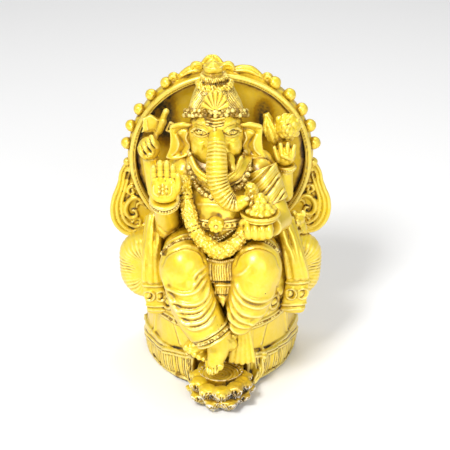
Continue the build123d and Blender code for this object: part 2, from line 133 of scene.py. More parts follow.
class IdolSizes(bpy.types.PropertyGroup):
    facet: FloatProperty(
        name="Facet size",
        description="Size of the facets the clay is divided into, as a share of the usual size",
        default=1.0, min=0.8, max=4.0, subtype="FACTOR",
    )
    carving: FloatProperty(
        name="Carving depth",
        description="Depth of every carved fold and line, as a share of the usual depth",
        default=1.0, min=0.0, max=2.0, subtype="FACTOR",
    )
    trunk_ring: FloatProperty(
        name="Trunk ring pitch", description="Distance from one wrinkle of the trunk to the next",
        default=2.7 * MM, min=1.0 * MM, max=6.0 * MM, precision=4, subtype="DISTANCE", unit="LENGTH",
    )
    crown_ribs: IntProperty(
        name="Crown ribs", description="Upright ribs round the crown", default=52, min=8, max=90,
    )
    bead: FloatProperty(
        name="Bead size", description="Radius of the small beads along the throne's cloth",
        default=0.95 * MM, min=0.4 * MM, max=2.0 * MM, precision=5, subtype="DISTANCE", unit="LENGTH",
    )


class IdolColours(bpy.types.PropertyGroup):
    gold: FloatVectorProperty(
        name="Gold", description="Gold paint on the smooth parts", subtype="COLOR", size=4,
        default=(0.90, 0.655, 0.012, 1), min=0, max=1,
    )
    # Pale gold is also the painted highlight on the crests.
    pale_gold: FloatVectorProperty(
        name="Pale gold", description="Gold paint rubbed thin on the raised parts", subtype="COLOR", size=4,
        default=(0.96, 0.81, 0.29, 1), min=0, max=1,
    )
    # The patina colour is also laid on the deepest painted shade.
    patina: FloatVectorProperty(
        name="Patina", description="Dark wash left in the recesses", subtype="COLOR", size=4,
        default=(0.030, 0.022, 0.004, 1), min=0, max=1,
    )
    casting: FloatVectorProperty(
        name="Bare casting", description="White resin where the paint has chipped away", subtype="COLOR",
        size=4,
        default=(0.86, 0.84, 0.76, 1), min=0, max=1,
    )
    felt: FloatVectorProperty(
        name="Felt", description="Felt under the base", subtype="COLOR", size=4,
        default=(0.02, 0.07, 0.03, 1), min=0, max=1,
    )
    floor: FloatVectorProperty(
        name="Floor", description="Plain floor of the stage", subtype="COLOR", size=4,
        default=(0.9, 0.9, 0.9, 1), min=0, max=1,
    )


def sizes():
    return bpy.context.scene.idol_sizes


def colours():
    return bpy.context.scene.idol_colours


# ---------------------------------------------------------------- clay: masses pressed together, then carved


def flowing(points, steps=8):
    """Points of a smooth curve through the given ones."""
    pts = [Vector(p) for p in points]
    if len(pts) < 3:
        return [pts[0].lerp(pts[-1], i / steps) for i in range(steps + 1)]
    ends = [pts[0] * 2 - pts[1], *pts, pts[-1] * 2 - pts[-2]]
    curve = []
    for a, b, c, d in zip(ends, ends[1:], ends[2:], ends[3:]):
        for i in range(steps):
            t = i / steps
            curve.append(
                0.5 * (
                    2 * b + (c - a) * t + (2 * a - 5 * b + 4 * c - d) * t * t + (3 * b - a - 3 * c + d) * t**3
                )
            )
    curve.append(pts[-1])
    return curve


def spread(values, count):
    """The values blended to a longer list."""
    where = np.linspace(0, len(values) - 1, count)
    return list(np.interp(where, range(len(values)), values))


def turned(turn):
    """Matrix of a turn given in degrees about X, Y and Z."""
    return Euler([math.radians(a) for a in turn]).to_matrix().to_4x4()


def clamp(values):
    return np.clip(values, 0, 1)


def bell(off, width):
    """1 where off is 0, falling smoothly to nearly 0 at twice the width."""
    return np.exp(-((off / width) ** 2))


def faces_of(verts):
    """The faces that touch any of the points, each once."""
    return list(dict.fromkeys(f for v in verts for f in v.link_faces))


def rows_of(collection, key):
    """The three-part values of a mesh's points, one row each."""
    flat = np.empty(len(collection) * 3, np.float32)
    collection.foreach_get(key, flat)
    return flat.reshape(-1, 3).astype(float)


def round_upright(co, centre):
    """Each point's angle round an upright axis, 0 at the front, and its distance from the axis."""
    across, ahead = co[:, 0] - centre.x, co[:, 1] - centre.y
    return np.arctan2(across, -ahead), np.hypot(across, ahead)


def random_way(rng):
    way = rng.normal(size=3)
    return way / np.linalg.norm(way)


class Clay:
    """A lump of clay in millimetres: shapes pressed together, which skin turns into points to carve."""

    def __init__(self):
        self.bm = bmesh.new()

    @property
    def x(self):
        return self.co[:, 0]

    @property
    def y(self):
        return self.co[:, 1]

    @property
    def z(self):
        return self.co[:, 2]

    def node(self, *names):
        """Starts from the plain solid of frame nodes."""
        for name in names:
            start = len(self.bm.verts)
            self.bm.from_mesh(frame["nodes"][name].data)
            self.bm.verts.ensure_lookup_table()
            new = self.bm.verts[start:]
            bmesh.ops.scale(self.bm, vec=(1 / MM,) * 3, verts=new)
            bmesh.ops.remove_doubles(self.bm, verts=new, dist=0.002)
        return self

    def ball(self, centre, radii, turn=(0, 0, 0), smooth=3):
        radii = (radii,) * 3 if isinstance(radii, (int, float)) else radii
        place = Matrix.Translation(centre) @ turned(turn) @ Matrix.Diagonal((*radii, 1))
        bmesh.ops.create_icosphere(self.bm, subdivisions=smooth, radius=1, matrix=place)
        return self

    def box(self, centre, size, turn=(0, 0, 0)):
        place = Matrix.Translation(centre) @ turned(turn) @ Matrix.Diagonal((*size, 1))
        bmesh.ops.create_cube(self.bm, size=1, matrix=place)
        return self

    def tube(self, points, radii, flat=1.0, across=None, sides=20, smooth=True, round_ends=True):
        """A bar through the points; flat below 1 presses it, and across says which way it stays wide."""
        path = flowing(points) if smooth else [Vector(p) for p in points]
        radii = spread(radii, len(path))
        rings = []
        side = Vector(across) if across else None
        for i, point in enumerate(path):
            ahead = (path[min(i + 1, len(path) - 1)] - path[max(i - 1, 0)]).normalized()
            if side is None:
                side = ahead.orthogonal()
            side = (side - ahead * side.dot(ahead)).normalized()
            up = ahead.cross(side)
            heading = Matrix.Translation(point) @ Matrix((side, up, ahead)).transposed().to_4x4()
            place = heading @ Matrix.Diagonal((radii[i], radii[i] * flat, 1, 1))
            at_end = i in (0, len(path) - 1)
            made = bmesh.ops.create_circle(
                self.bm, cap_ends=at_end, segments=sides, radius=1, matrix=place,
            )["verts"]
            loose = (e for v in made for e in v.link_edges if len(e.link_faces) < 2)
            rings.append(list(dict.fromkeys(e for e in loose if all(v in made for v in e.verts))))
            if at_end and round_ends:
                size = radii[i] * 0.98
                shape = Matrix.Translation(point) @ Matrix.Diagonal((size,) * 3).to_4x4()
                if flat != 1.0:
                    shape = heading @ Matrix.Diagonal((size, size * flat, radii[i] * min(flat, 0.98), 1))
                bmesh.ops.create_icosphere(self.bm, subdivisions=2, radius=1, matrix=shape)
        for one, two in zip(rings, rings[1:]):
            bmesh.ops.bridge_loops(self.bm, edges=one + two)
        return self

    def plate(self, outline, facing, thickness, rounded=True):
        """A flat plate: an outline of points extruded along a direction."""
        path = flowing([*outline, outline[0]], 6)[:-1] if rounded else [Vector(p) for p in outline]
        verts = [self.bm.verts.new(p) for p in path]
        face = self.bm.faces.new(verts)
        grown = bmesh.ops.extrude_face_region(self.bm, geom=[face])
        moved = [v for v in grown["geom"] if isinstance(v, bmesh.types.BMVert)]
        bmesh.ops.translate(self.bm, vec=Vector(facing).normalized() * thickness, verts=moved)
        bmesh.ops.recalc_face_normals(self.bm, faces=faces_of([*verts, *moved]))
        return self

    def lathe(self, profile, place=None, steps=48):
        """A turned shape: (radius, height) pairs spun round the Z axis, then moved to its place."""
        before = len(self.bm.verts)
        verts = [self.bm.verts.new((r, 0, h)) for r, h in profile]
        edges = [self.bm.edges.new(pair) for pair in zip(verts, verts[1:])]
        bmesh.ops.spin(
            self.bm, geom=verts + edges, cent=(0, 0, 0), axis=(0, 0, 1), dvec=(0, 0, 0),
            angle=math.tau, steps=steps, use_merge=True, use_duplicate=False,
        )
        self.bm.verts.ensure_lookup_table()
        bmesh.ops.remove_doubles(self.bm, verts=self.bm.verts[before:], dist=0.001)
        self.bm.verts.ensure_lookup_table()
        turned_verts = self.bm.verts[before:]
        if place is not None:
            bmesh.ops.transform(self.bm, matrix=place, verts=turned_verts)
        bmesh.ops.recalc_face_normals(self.bm, faces=faces_of(turned_verts))
        return self

    def skin(self, voxel, soften=2):
        """Turns everything pressed together so far into one even skin that can be carved."""
        mesh = bpy.data.meshes.new("clay")
        self.bm.to_mesh(mesh)
        self.bm.free()
        lump = bpy.data.objects.new("clay", mesh)
        bpy.context.scene.collection.objects.link(lump)
        remesh = lump.modifiers.new("skin", "REMESH")
        remesh.mode = "VOXEL"
        remesh.voxel_size = voxel * sizes().facet
        ease = lump.modifiers.new("soften", "SMOOTH")
        ease.factor = 0.5
        ease.iterations = soften
        bpy.context.view_layer.update()
        seen = lump.evaluated_get(bpy.context.evaluated_depsgraph_get())
        self.mesh = bpy.data.meshes.new_from_object(seen)
        bpy.data.objects.remove(lump)
        bpy.data.meshes.remove(mesh)
        return self.read()

    def read(self):
        """Reads the skin's points and the way each one faces."""
        self.co = rows_of(self.mesh.vertices, "co")
        self.face_out()
        return self

    def face_out(self):
        """Works out again which way each point faces."""
        self.mesh.vertices.foreach_set("co", self.co.astype(np.float32).ravel())
        self.mesh.update()
        self.out = rows_of(self.mesh.vertex_normals, "vector")
        return self

    def facing(self, look, soft=0.45):
        """1 where the skin faces against the look direction, fading to 0 at its edge."""
        if look is None:
            return np.ones(len(self.co))
        return clamp(-(self.out @ np.array(Vector(look).normalized())) / soft)

    def gap(self, line, look=None, closed=False):
        """Each point's distance from a line seen along look, how far along it lies, and the line's length."""
        path = np.array([list(p) for p in line], float)
        if closed:
            path = np.vstack([path, path[:1]])
        co = self.co
        if look is not None:
            n = np.array(Vector(look).normalized())
            co = co - np.outer(co @ n, n)
            path = path - np.outer(path @ n, n)
        best = np.full(len(co), 1e9)
        along = np.zeros(len(co))
        walked = 0.0
        for a, b in zip(path, path[1:]):
            d = b - a
            length = float(np.linalg.norm(d)) or 1e-9
            t = clamp((co - a) @ d / length**2)
            dist = np.linalg.norm(co - a - t[:, None] * d, axis=1)
            near = dist < best
            best[near] = dist[near]
            along[near] = walked + t[near] * length
            walked += length
        return best, along, walked

    def push(self, amount, direction=None):
        """Moves the skin by an amount at each point, along its normal or a given direction."""
        way = self.out if direction is None else np.array(Vector(direction).normalized())[None, :]
        self.co = self.co + way * (amount * sizes().carving)[:, None]
        return self

    def line(self, points, width, height, look=None, fade=0.0, smooth=True):
        """Raises a ridge along a line, or sinks a groove where height is negative."""
        path = flowing(points, 6) if smooth else points
        dist, along, length = self.gap(path, look)
        amount = height * bell(dist, width) * self.facing(look)
        if fade:
            amount *= clamp(np.minimum(along, length - along) / (fade * length) + 0.15)
        return self.push(amount)

    def fold(self, points, width, height, look=None, fade=0.25):
        """A soft cloth fold: a narrow ridge between two shallow hollows."""
        path = flowing(points, 6)
        dist, along, length = self.gap(path, look)
        taper = clamp(np.minimum(along, length - along) / (fade * length) + 0.1)
        ridge = height * bell(dist, width)
        sunk = -0.30 * height * bell(dist - 2.3 * width, 1.1 * width)
        return self.push((ridge + sunk) * taper * self.facing(look, 0.6))

    def dab(self, centre, radius, height, look=None):
        """Presses a round dent or raises a round swelling."""
        radii = np.array([radius] * 3 if isinstance(radius, (int, float)) else radius, float)
        away = self.co - np.array(centre)
        if look is not None:
            n = np.array(Vector(look).normalized())
            away = away - np.outer(away @ n, n)
        far = np.linalg.norm(away / radii, axis=1)
        return self.push(height * np.exp(-(far**2)) * self.facing(look))

    def ripple(self, phase, height, where=1.0, sharp=1.0):
        """Even corrugations: phase counts turns, and sharp above 1 narrows the grooves."""
        wave = 0.5 + 0.5 * np.cos(phase * math.tau)
        return self.push(-height * (1 - wave) ** sharp * where)

    def bands(self, level, rows, width, where=1.0):
        """Raised bands, or sunk ones where negative, at given heights of a level that rises over the skin."""
        for height, proud in rows:
            self.push(proud * bell(level - height, width) * where)
        return self

    def rough(self, height, scale, seed=0):
        """Slight hand-worked unevenness from a few crossing waves."""
        rng = np.random.default_rng(seed)
        total = np.zeros(len(self.co))
        for _ in range(7):
            way = random_way(rng)
            pitch = scale * rng.uniform(0.7, 1.6)
            total += np.sin(self.co @ way * (math.tau / pitch) + rng.uniform(0, math.tau))
        return self.push(height * total / 3.5)

    def rest(self, points, look=LOOK, lift=0.0, reach=0.9):
        """Moves points along the look direction until they lie on the skin, lifted a little above it."""
        n = np.array(Vector(look).normalized())
        depth = self.co @ n
        flat = self.co - np.outer(depth, n)
        settled = []
        for point in points:
            p = np.array(point)
            near = np.linalg.norm(flat - (p - (p @ n) * n), axis=1) < reach
            near &= self.out @ n < 0
            if near.any():
                p = p + ((depth[near].min() - lift) - p @ n) * n
            settled.append(Vector(p))
        return settled

    def squeeze(self, x, share):
        """Narrows the clay sideways about a plane."""
        self.co[:, 0] = x + (self.co[:, 0] - x) * share
        return self

    def stud(self, count, low, high, height, bare=0.0, seed=0):
        """Covers the skin with small round studs, leaving the share marked bare smooth."""
        rng = np.random.default_rng(seed)
        cell = high * 3.2
        grid = {}
        for i, key in enumerate(map(tuple, np.floor(self.co / cell).astype(int))):
            grid.setdefault(key, []).append(i)
        bumps = np.zeros(len(self.co))
        for spot in self.co[rng.integers(0, len(self.co), count)]:
            key = np.floor(spot / cell).astype(int)
            near = [i for step in AROUND for i in grid.get(tuple(key + step), ())]
            far = np.linalg.norm(self.co[near] - spot, axis=1)
            bumps[near] = np.maximum(bumps[near], bell(far, rng.uniform(low, high)))
        return self.push((bumps - 0.45) * height * (1 - bare))


def piece(name, clay, material, extra=None):
    """Stands the finished clay on the idol, in metres, in place of the frame node of its name."""
    clay.face_out()
    mesh = clay.mesh
    mesh.name = name
    mesh.materials.clear()
    mesh.materials.append(material)
    if extra is not None:
        joined = bmesh.new()
        joined.from_mesh(mesh)
        added = bpy.data.meshes.new("added")
        extra.bm.to_mesh(added)
        extra.bm.free()
        joined.from_mesh(added)
        joined.to_mesh(mesh)
        joined.free()
        bpy.data.meshes.remove(added)
    mesh.transform(Matrix.Scale(MM, 4))
    mesh.polygons.foreach_set("use_smooth", [True] * len(mesh.polygons))
    mesh.update()
    made = bpy.data.objects.new(name, mesh)
    bpy.context.scene.collection.objects.link(made)
    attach(made, "root")
    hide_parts(name)
    return made


# ---------------------------------------------------------------- materials


def value(tree, kind, inputs=(), **settings):
    """Adds a node, sets its properties and fills its inputs with links or values."""
    node = tree.nodes.new(kind)
    for key, setting in settings.items():
        setattr(node, key, setting)
    for key, given in dict(inputs).items():
        if isinstance(given, bpy.types.NodeSocket):
            tree.links.new(given, node.inputs[key])
        else:
            node.inputs[key].default_value = given
    return node


def maths(tree, operation, one, two=0.0, clamp=False):
    return value(tree, "ShaderNodeMath", {0: one, 1: two}, operation=operation, use_clamp=clamp).outputs[0]


def blended(tree, share, one, two):
    node = value(tree, "ShaderNodeMix", {0: share, 6: one, 7: two}, data_type="RGBA")
    return node.outputs[2]


def ageing_and_light_group():
    """Shader group: where wash stays and where shade and shadows are painted, where paint is rubbed or
    chipped or a highlight is painted on crests, its mottling and its fine relief.
    """
    name = "paint ageing and painted light"
    if name in bpy.data.node_groups:
        return bpy.data.node_groups[name]
    group = bpy.data.node_groups.new(name, "ShaderNodeTree")
    for label, default in (("Wash and shade", 1.0), ("Rub and highlight", 1.0), ("Chipping", 0.0)):
        socket = group.interface.new_socket(label, in_out="INPUT", socket_type="NodeSocketFloat")
        socket.default_value = default
    for label in ("Patina and shade", "Depth", "Worn", "Mottle", "Chips", "Height"):
        group.interface.new_socket(label, in_out="OUTPUT", socket_type="NodeSocketFloat")
    enter = group.nodes.new("NodeGroupInput").outputs
    leave = group.nodes.new("NodeGroupOutput").inputs
    place = value(group, "ShaderNodeTexCoord").outputs["Object"]

    def mask(name):
        return value(group, "ShaderNodeAttribute", attribute_name=name).outputs["Fac"]

    def noise(scale, detail=4.0, rough=0.55):
        return value(
            group, "ShaderNodeTexNoise", {
                "Vector": place, "Scale": scale, "Detail": detail, "Roughness": rough,
            }
        ).outputs["Fac"]

    def add(one, two):
        return maths(group, "ADD", one, two)

    def times(one, two):
        return maths(group, "MULTIPLY", one, two)

    hollow, shade, crest, painted_shadow = mask("hollow"), mask("shade"), mask("crest"), mask("painted_shadow")
    broad, fine, grit = noise(70.0), noise(420.0), noise(1500.0, 2.0)
    patch = add(times(broad, 0.5), times(fine, 0.5))
    group.links.new(patch, leave["Mottle"])
    # Painted shade: the ray-cast occlusion, mottled, tints the paint amber where nearby parts block the
    # light.
    group.links.new(times(shade, add(patch, 0.55)), leave["Depth"])
    # Painted shade: where occlusion is deepest it joins the wash, so the wash darkens shaded places as well
    # as real hollows.
    deepest = maths(group, "SUBTRACT", shade, 0.30, clamp=True)
    deep = times(deepest, add(times(patch, 1.5), 0.1))
    wash = add(times(hollow, enter["Wash and shade"]), times(deep, enter["Wash and shade"]))
    wash = times(wash, add(times(fine, 1.1), 0.45))
    # Painted shadows: dark patches where the upper hands and the rim shade the halo, and painted shade on one
    # side of the lotus.
    painted_shadow_patch = times(painted_shadow, add(times(patch, 2.4), -0.35))
    specks = value(
        group, "ShaderNodeTexVoronoi", {"Vector": place, "Scale": 95.0, "Randomness": 1.0}, feature="F1",
    )
    pore = maths(group, "LESS_THAN", specks.outputs["Distance"], 0.045)
    pore = times(pore, maths(group, "GREATER_THAN", noise(23.0, 1.0), 0.55))
    # Wash in the hollows and casting pores, together with painted shade and painted shadows.
    patina_and_shade = maths(group, "MAXIMUM", add(wash, painted_shadow_patch), times(pore, 0.85), clamp=True)
    group.links.new(patina_and_shade, leave["Patina and shade"])
    # Rubbed paint and painted highlight: crests turn pale gold.
    rubbed_and_highlight = times(crest, add(times(fine, 1.6), -0.1))
    group.links.new(maths(group, "MULTIPLY", rubbed_and_highlight, enter["Rub and highlight"], clamp=True), leave["Worn"])
    chips = maths(group, "GREATER_THAN", add(crest, fine), 1.30)
    group.links.new(times(chips, enter["Chipping"]), leave["Chips"])
    relief = add(times(fine, 0.5), times(grit, 0.25))
    group.links.new(maths(group, "SUBTRACT", relief, times(pore, 1.2)), leave["Height"])
    return group


def new_material(name):
    """A new material with its node tree and its shader."""
    material = bpy.data.materials.new(name)
    material.use_nodes = True
    return material, material.node_tree, material.node_tree.nodes["Principled BSDF"]


def gold_paint(name, wash=1.0, rub=1.5, chips=0.0, sunk=1.1):
    """Gold paint over a resin casting, with an amber to dark wash in the recesses, painted amber shade where
    parts are occluded or seen at a grazing angle, painted shadows, and pale rubbed edges that are also
    painted highlights.
    """
    if name in bpy.data.materials:
        return bpy.data.materials[name]
    material, tree, shader = new_material(name)
    ageing_and_light = value(tree, "ShaderNodeGroup", node_tree=ageing_and_light_group())
    for label, amount in (("Wash and shade", wash), ("Rub and highlight", rub), ("Chipping", chips)):
        ageing_and_light.inputs[label].default_value = amount
    ageing_and_light = ageing_and_light.outputs
    look = colours()
    gold = tuple(look.gold)

    def deeper(red, green, blue):
        return gold[0] * red, gold[1] * green, gold[2] * blue, 1

    tone = value(tree, "ShaderNodeMapRange", {"Value": ageing_and_light["Mottle"], "From Min": 0.35, "From Max": 0.68})
    paint = blended(tree, maths(tree, "MULTIPLY", tone.outputs[0], 0.30), gold, tuple(look.pale_gold))
    # Painted shade: the paint turns amber where the surface is seen at a grazing angle, darkening the rims of
    # rounded forms.
    edge = value(tree, "ShaderNodeLayerWeight", {"Blend": 0.35}).outputs["Facing"]
    edge = value(
        tree, "ShaderNodeMapRange", {"Value": edge, "From Min": 0.25, "From Max": 0.95, "To Max": 0.62},
    )
    paint = blended(tree, edge.outputs[0], paint, deeper(0.70, 0.56, 0.25))
    # Painted shade: occluded places turn a darker amber gold, as strong as sunk says.
    sunk = maths(tree, "MULTIPLY", ageing_and_light["Depth"], sunk, clamp=True)
    paint = blended(tree, sunk, paint, deeper(0.56, 0.43, 0.2))
    # Pale gold on the crests: rubbed paint and a painted highlight.
    paint = blended(tree, maths(tree, "MULTIPLY", ageing_and_light["Worn"], 0.85), paint, tuple(look.pale_gold))
    # Dark wash in the hollows with painted shade and painted shadows: amber-brown, then the patina colour
    # where deepest.
    half = maths(tree, "MULTIPLY", ageing_and_light["Patina and shade"], 2.4, clamp=True)
    paint = blended(tree, half, paint, deeper(0.42, 0.31, 0.2))
    full = value(tree, "ShaderNodeMapRange", {"Value": ageing_and_light["Patina and shade"], "From Min": 0.40, "From Max": 0.95})
    paint = blended(tree, full.outputs[0], paint, tuple(look.patina))
    paint = blended(tree, ageing_and_light["Chips"], paint, tuple(look.casting))
    tree.links.new(paint, shader.inputs["Base Color"])
    rough = maths(tree, "ADD", maths(tree, "MULTIPLY", ageing_and_light["Mottle"], 0.20), 0.22)
    rough = maths(tree, "ADD", rough, maths(tree, "MULTIPLY", full.outputs[0], 0.35), clamp=True)
    tree.links.new(rough, shader.inputs["Roughness"])
    metal = maths(tree, "SUBTRACT", 0.40, maths(tree, "MULTIPLY", half, 0.3), clamp=True)
    tree.links.new(metal, shader.inputs["Metallic"])
    shader.inputs["Coat Weight"].default_value = 0.25
    shader.inputs["Coat Roughness"].default_value = 0.22
    bump = value(tree, "ShaderNodeBump", {"Height": ageing_and_light["Height"], "Strength": 0.3, "Distance": 0.0004})
    tree.links.new(bump.outputs[0], shader.inputs["Normal"])
    return material


def felt_cloth():
    """Short green felt."""
    material, tree, shader = new_material("green felt")
    place = value(tree, "ShaderNodeTexCoord").outputs["Object"]
    nap = value(tree, "ShaderNodeTexNoise", {"Vector": place, "Scale": 1800.0, "Detail": 4.0}).outputs["Fac"]
    look = colours()
    pale = tuple(min(1, c * 2.2 + 0.01) for c in look.felt[:3]) + (1,)
    tree.links.new(blended(tree, nap, tuple(look.felt), pale), shader.inputs["Base Color"])
    shader.inputs["Roughness"].default_value = 0.95
    shader.inputs["Sheen Weight"].default_value = 0.4
    bump = value(tree, "ShaderNodeBump", {"Height": nap, "Strength": 0.5, "Distance": 0.0005})
    tree.links.new(bump.outputs[0], shader.inputs["Normal"])
    return material


def floor_paint():
    """Matt pale floor with the faintest unevenness."""
    material, tree, shader = new_material("pale floor")
    place = value(tree, "ShaderNodeTexCoord").outputs["Object"]
    cloud = value(tree, "ShaderNodeTexNoise", {"Vector": place, "Scale": 2.0}).outputs["Fac"]
    tint = tuple(colours().floor)
    darker = tuple(c * 0.985 for c in tint[:3]) + (1,)
    tree.links.new(blended(tree, cloud, tint, darker), shader.inputs["Base Color"])
    shader.inputs["Roughness"].default_value = 0.9
    return material


# ---------------------------------------------------------------- throne and its cloth


def make_throne():
    gold = gold_paint("gold_throne")
    block = Clay().node("seat_block").skin(1.1, 5)
    sides = clamp(1 - np.abs(block.out[:, 2]) * 1.6)
    walk = block.x * np.abs(block.out[:, 1]) + block.y * np.abs(block.out[:, 0])
    z = block.z
    hang = clamp((z - 9) / 4) * clamp((SEAT_TOP - 6 - z) / 20)
    lean = 1.6 * np.sin(z * 0.05 + walk * 0.06) + 0.9 * np.sin(walk * 0.21)
    block.ripple((walk + lean) / 11.5, 0.9, sides * hang * (0.6 + 0.4 * np.sin(walk * 0.13 + 1)), 0.7)
    block.bands(z, ((8.0, 0.7), (10.4, -0.5), (SEAT_TOP - 5.0, 0.7), (SEAT_TOP - 8.0, -0.5)), 0.9, sides)
    block.rough(0.10, 14, 3)
    piece("seat_block", block, gold)
    pad = Clay().node("base_felt")
    pad.mesh = bpy.data.meshes.new("felt")
    bmesh.ops.bevel(
        pad.bm, geom=[e for e in pad.bm.edges if len(e.link_faces) == 2 and e.calc_face_angle(0) > 1.2],
        offset=0.3, segments=2, affect="EDGES", profile=0.5, material=-1,
    )
    pad.bm.to_mesh(pad.mesh)
    pad.bm.free()
    pad.read()
    felt = piece("base_felt", pad, felt_cloth())
    felt.data.polygons.foreach_set("use_smooth", [False] * len(felt.data.polygons))
    for side, name in ((-1, "drape_right"), (1, "drape_left")):
        drape(side, name, gold)


def round_throne(co):
    """Length walked round the throne's front for each point, 0 at its nose."""
    half = (THRONE_HIGH.x - THRONE_LOW.x) / 2
    angle = np.arctan2(co[:, 0] / half, (NOSE_Y - co[:, 1]) / (NOSE_Y - THRONE_LOW.y))
    return angle * NOSE_RADIUS, angle


def drape(side, name, gold):
    """Cloth over one side of the throne: soft panels, an ornamented band, a beaded line and a fringe."""
    fringe_top = 25.0
    half = THRONE_HIGH.x + 4.0
    deep = NOSE_Y - THRONE_LOW.y + 4.0

    def round_front(turn, height, out=0.0):
        return Vector(((half + out) * math.sin(turn) * side, NOSE_Y - (deep + out) * math.cos(turn), height))

    clay = Clay().node(name)
    swing = [round_front(t, 13.6, 1.6) for t in np.linspace(0.80, 0.33, 8)]
    clay.tube(swing, [11.6, 11.8, 12.0, 11.6], 0.20, (0, 0, 1), sides=24, round_ends=False)
    swing = [round_front(t, 37.5, -1.0) for t in np.linspace(0.42, 0.26, 5)]
    clay.tube(swing, [12.0, 11.0], 0.16, (0, 0, 1), sides=24, round_ends=False)
    if side > 0:
        clay.tube(
            [
                round_front(0.56, 26, 1.0), round_front(0.55, 20, 4.0), round_front(0.49, 12, 6.0),
                round_front(0.40, 4.5, 7.0),
            ],
            [2.0, 3.4, 3.4, 2.2], 0.8,
        )
        clay.tube(
            [round_front(0.46, 25, 1), round_front(0.45, 15, 3), round_front(0.38, 5, 4)], [1.6, 2.4, 2.0],
        )
    else:
        clay.tube(
            [round_front(0.44, 24, 1), round_front(0.41, 14, 3), round_front(0.38, 5, 4)], [2.0, 2.8, 2.6],
        )
    clay.skin(0.7, 2)
    walk, angle = round_throne(clay.co)
    z = clay.z
    outer = clamp(clay.out[:, 0] * np.sin(angle) - clay.out[:, 1] * np.cos(angle))
    sway = 0.8 * np.sin(walk * 0.075 + 0.8 * side) + 0.5 * np.sin(walk * 0.19)
    fall = clamp((np.abs(walk) - 24) / 62) * clamp((62 - z) / 36)
    edge = z + sway + 12.0 * fall
    fringe = clamp((fringe_top - 1.6 - edge) / 1.5)
    uneven = 0.5 * np.sin(walk * 0.33 + 1.3) + 0.22 * np.sin(walk * 1.1 + 0.06 * z)
    clay.push(0.7 * np.sin(walk * 0.24 + 0.5) * clamp((fringe_top + 16 - z) / 20) * outer)
    clay.ripple(walk / 2.3 + uneven, 0.8, fringe * outer, 1.0)
    clay.push(-3.0 * clamp((fringe_top - edge) / 22) ** 1.5 * outer)
    clay.face_out()
    for height, width, proud in ((24.0, 0.7, 0.8), (26.4, 0.7, 0.9), (28.4, 0.6, -0.5)):
        clay.push(proud * bell(edge - height, width) * outer)
    for seam, lean in ((34, 0.30), (61, -0.22), (88, 0.16)):
        off = np.abs(walk) - seam - lean * (z - 36)
        panel = outer * clamp((edge - 30) / 2) * clamp((46 - z) / 2)
        clay.push(0.9 * bell(off, 1.5) * panel)
        clay.push(-0.5 * bell(off - 2.6, 0.9) * panel)
    clay.bands(z + 0.4 * sway, ((46.4, 0.9), (50.0, 1.0), (70.6, 1.0)), 0.8, outer)
    clay.face_out()
    pitch = 13.0
    cell = (np.abs(walk) % pitch) - pitch / 2
    ring = np.hypot(cell, (z - 60.0))
    band = (z > 50.5) * (z < 70) * outer
    clay.push(1.3 * bell(ring - 5.0, 0.9) * band)
    clay.push(1.2 * bell(np.hypot(cell - 1.4, z - 60), 1.9) * band)
    clay.push(-0.8 * bell(ring - 3.1, 0.7) * band)
    spandrel = np.hypot(np.abs(cell) - pitch / 2, np.abs(z - 60) - 6.0)
    clay.push(0.8 * bell(spandrel, 1.5) * band)
    clay.face_out()
    clay.rough(0.15, 9, 5)
    row = Clay()
    bead = sizes().bead / MM
    for i in range(30):
        row.ball(round_front(0.44 + i * 0.040, 48.0, -0.2), (bead * 1.25, bead * 1.1, bead), smooth=2)
    piece(name, clay, gold, row)


# ---------------------------------------------------------------- halo


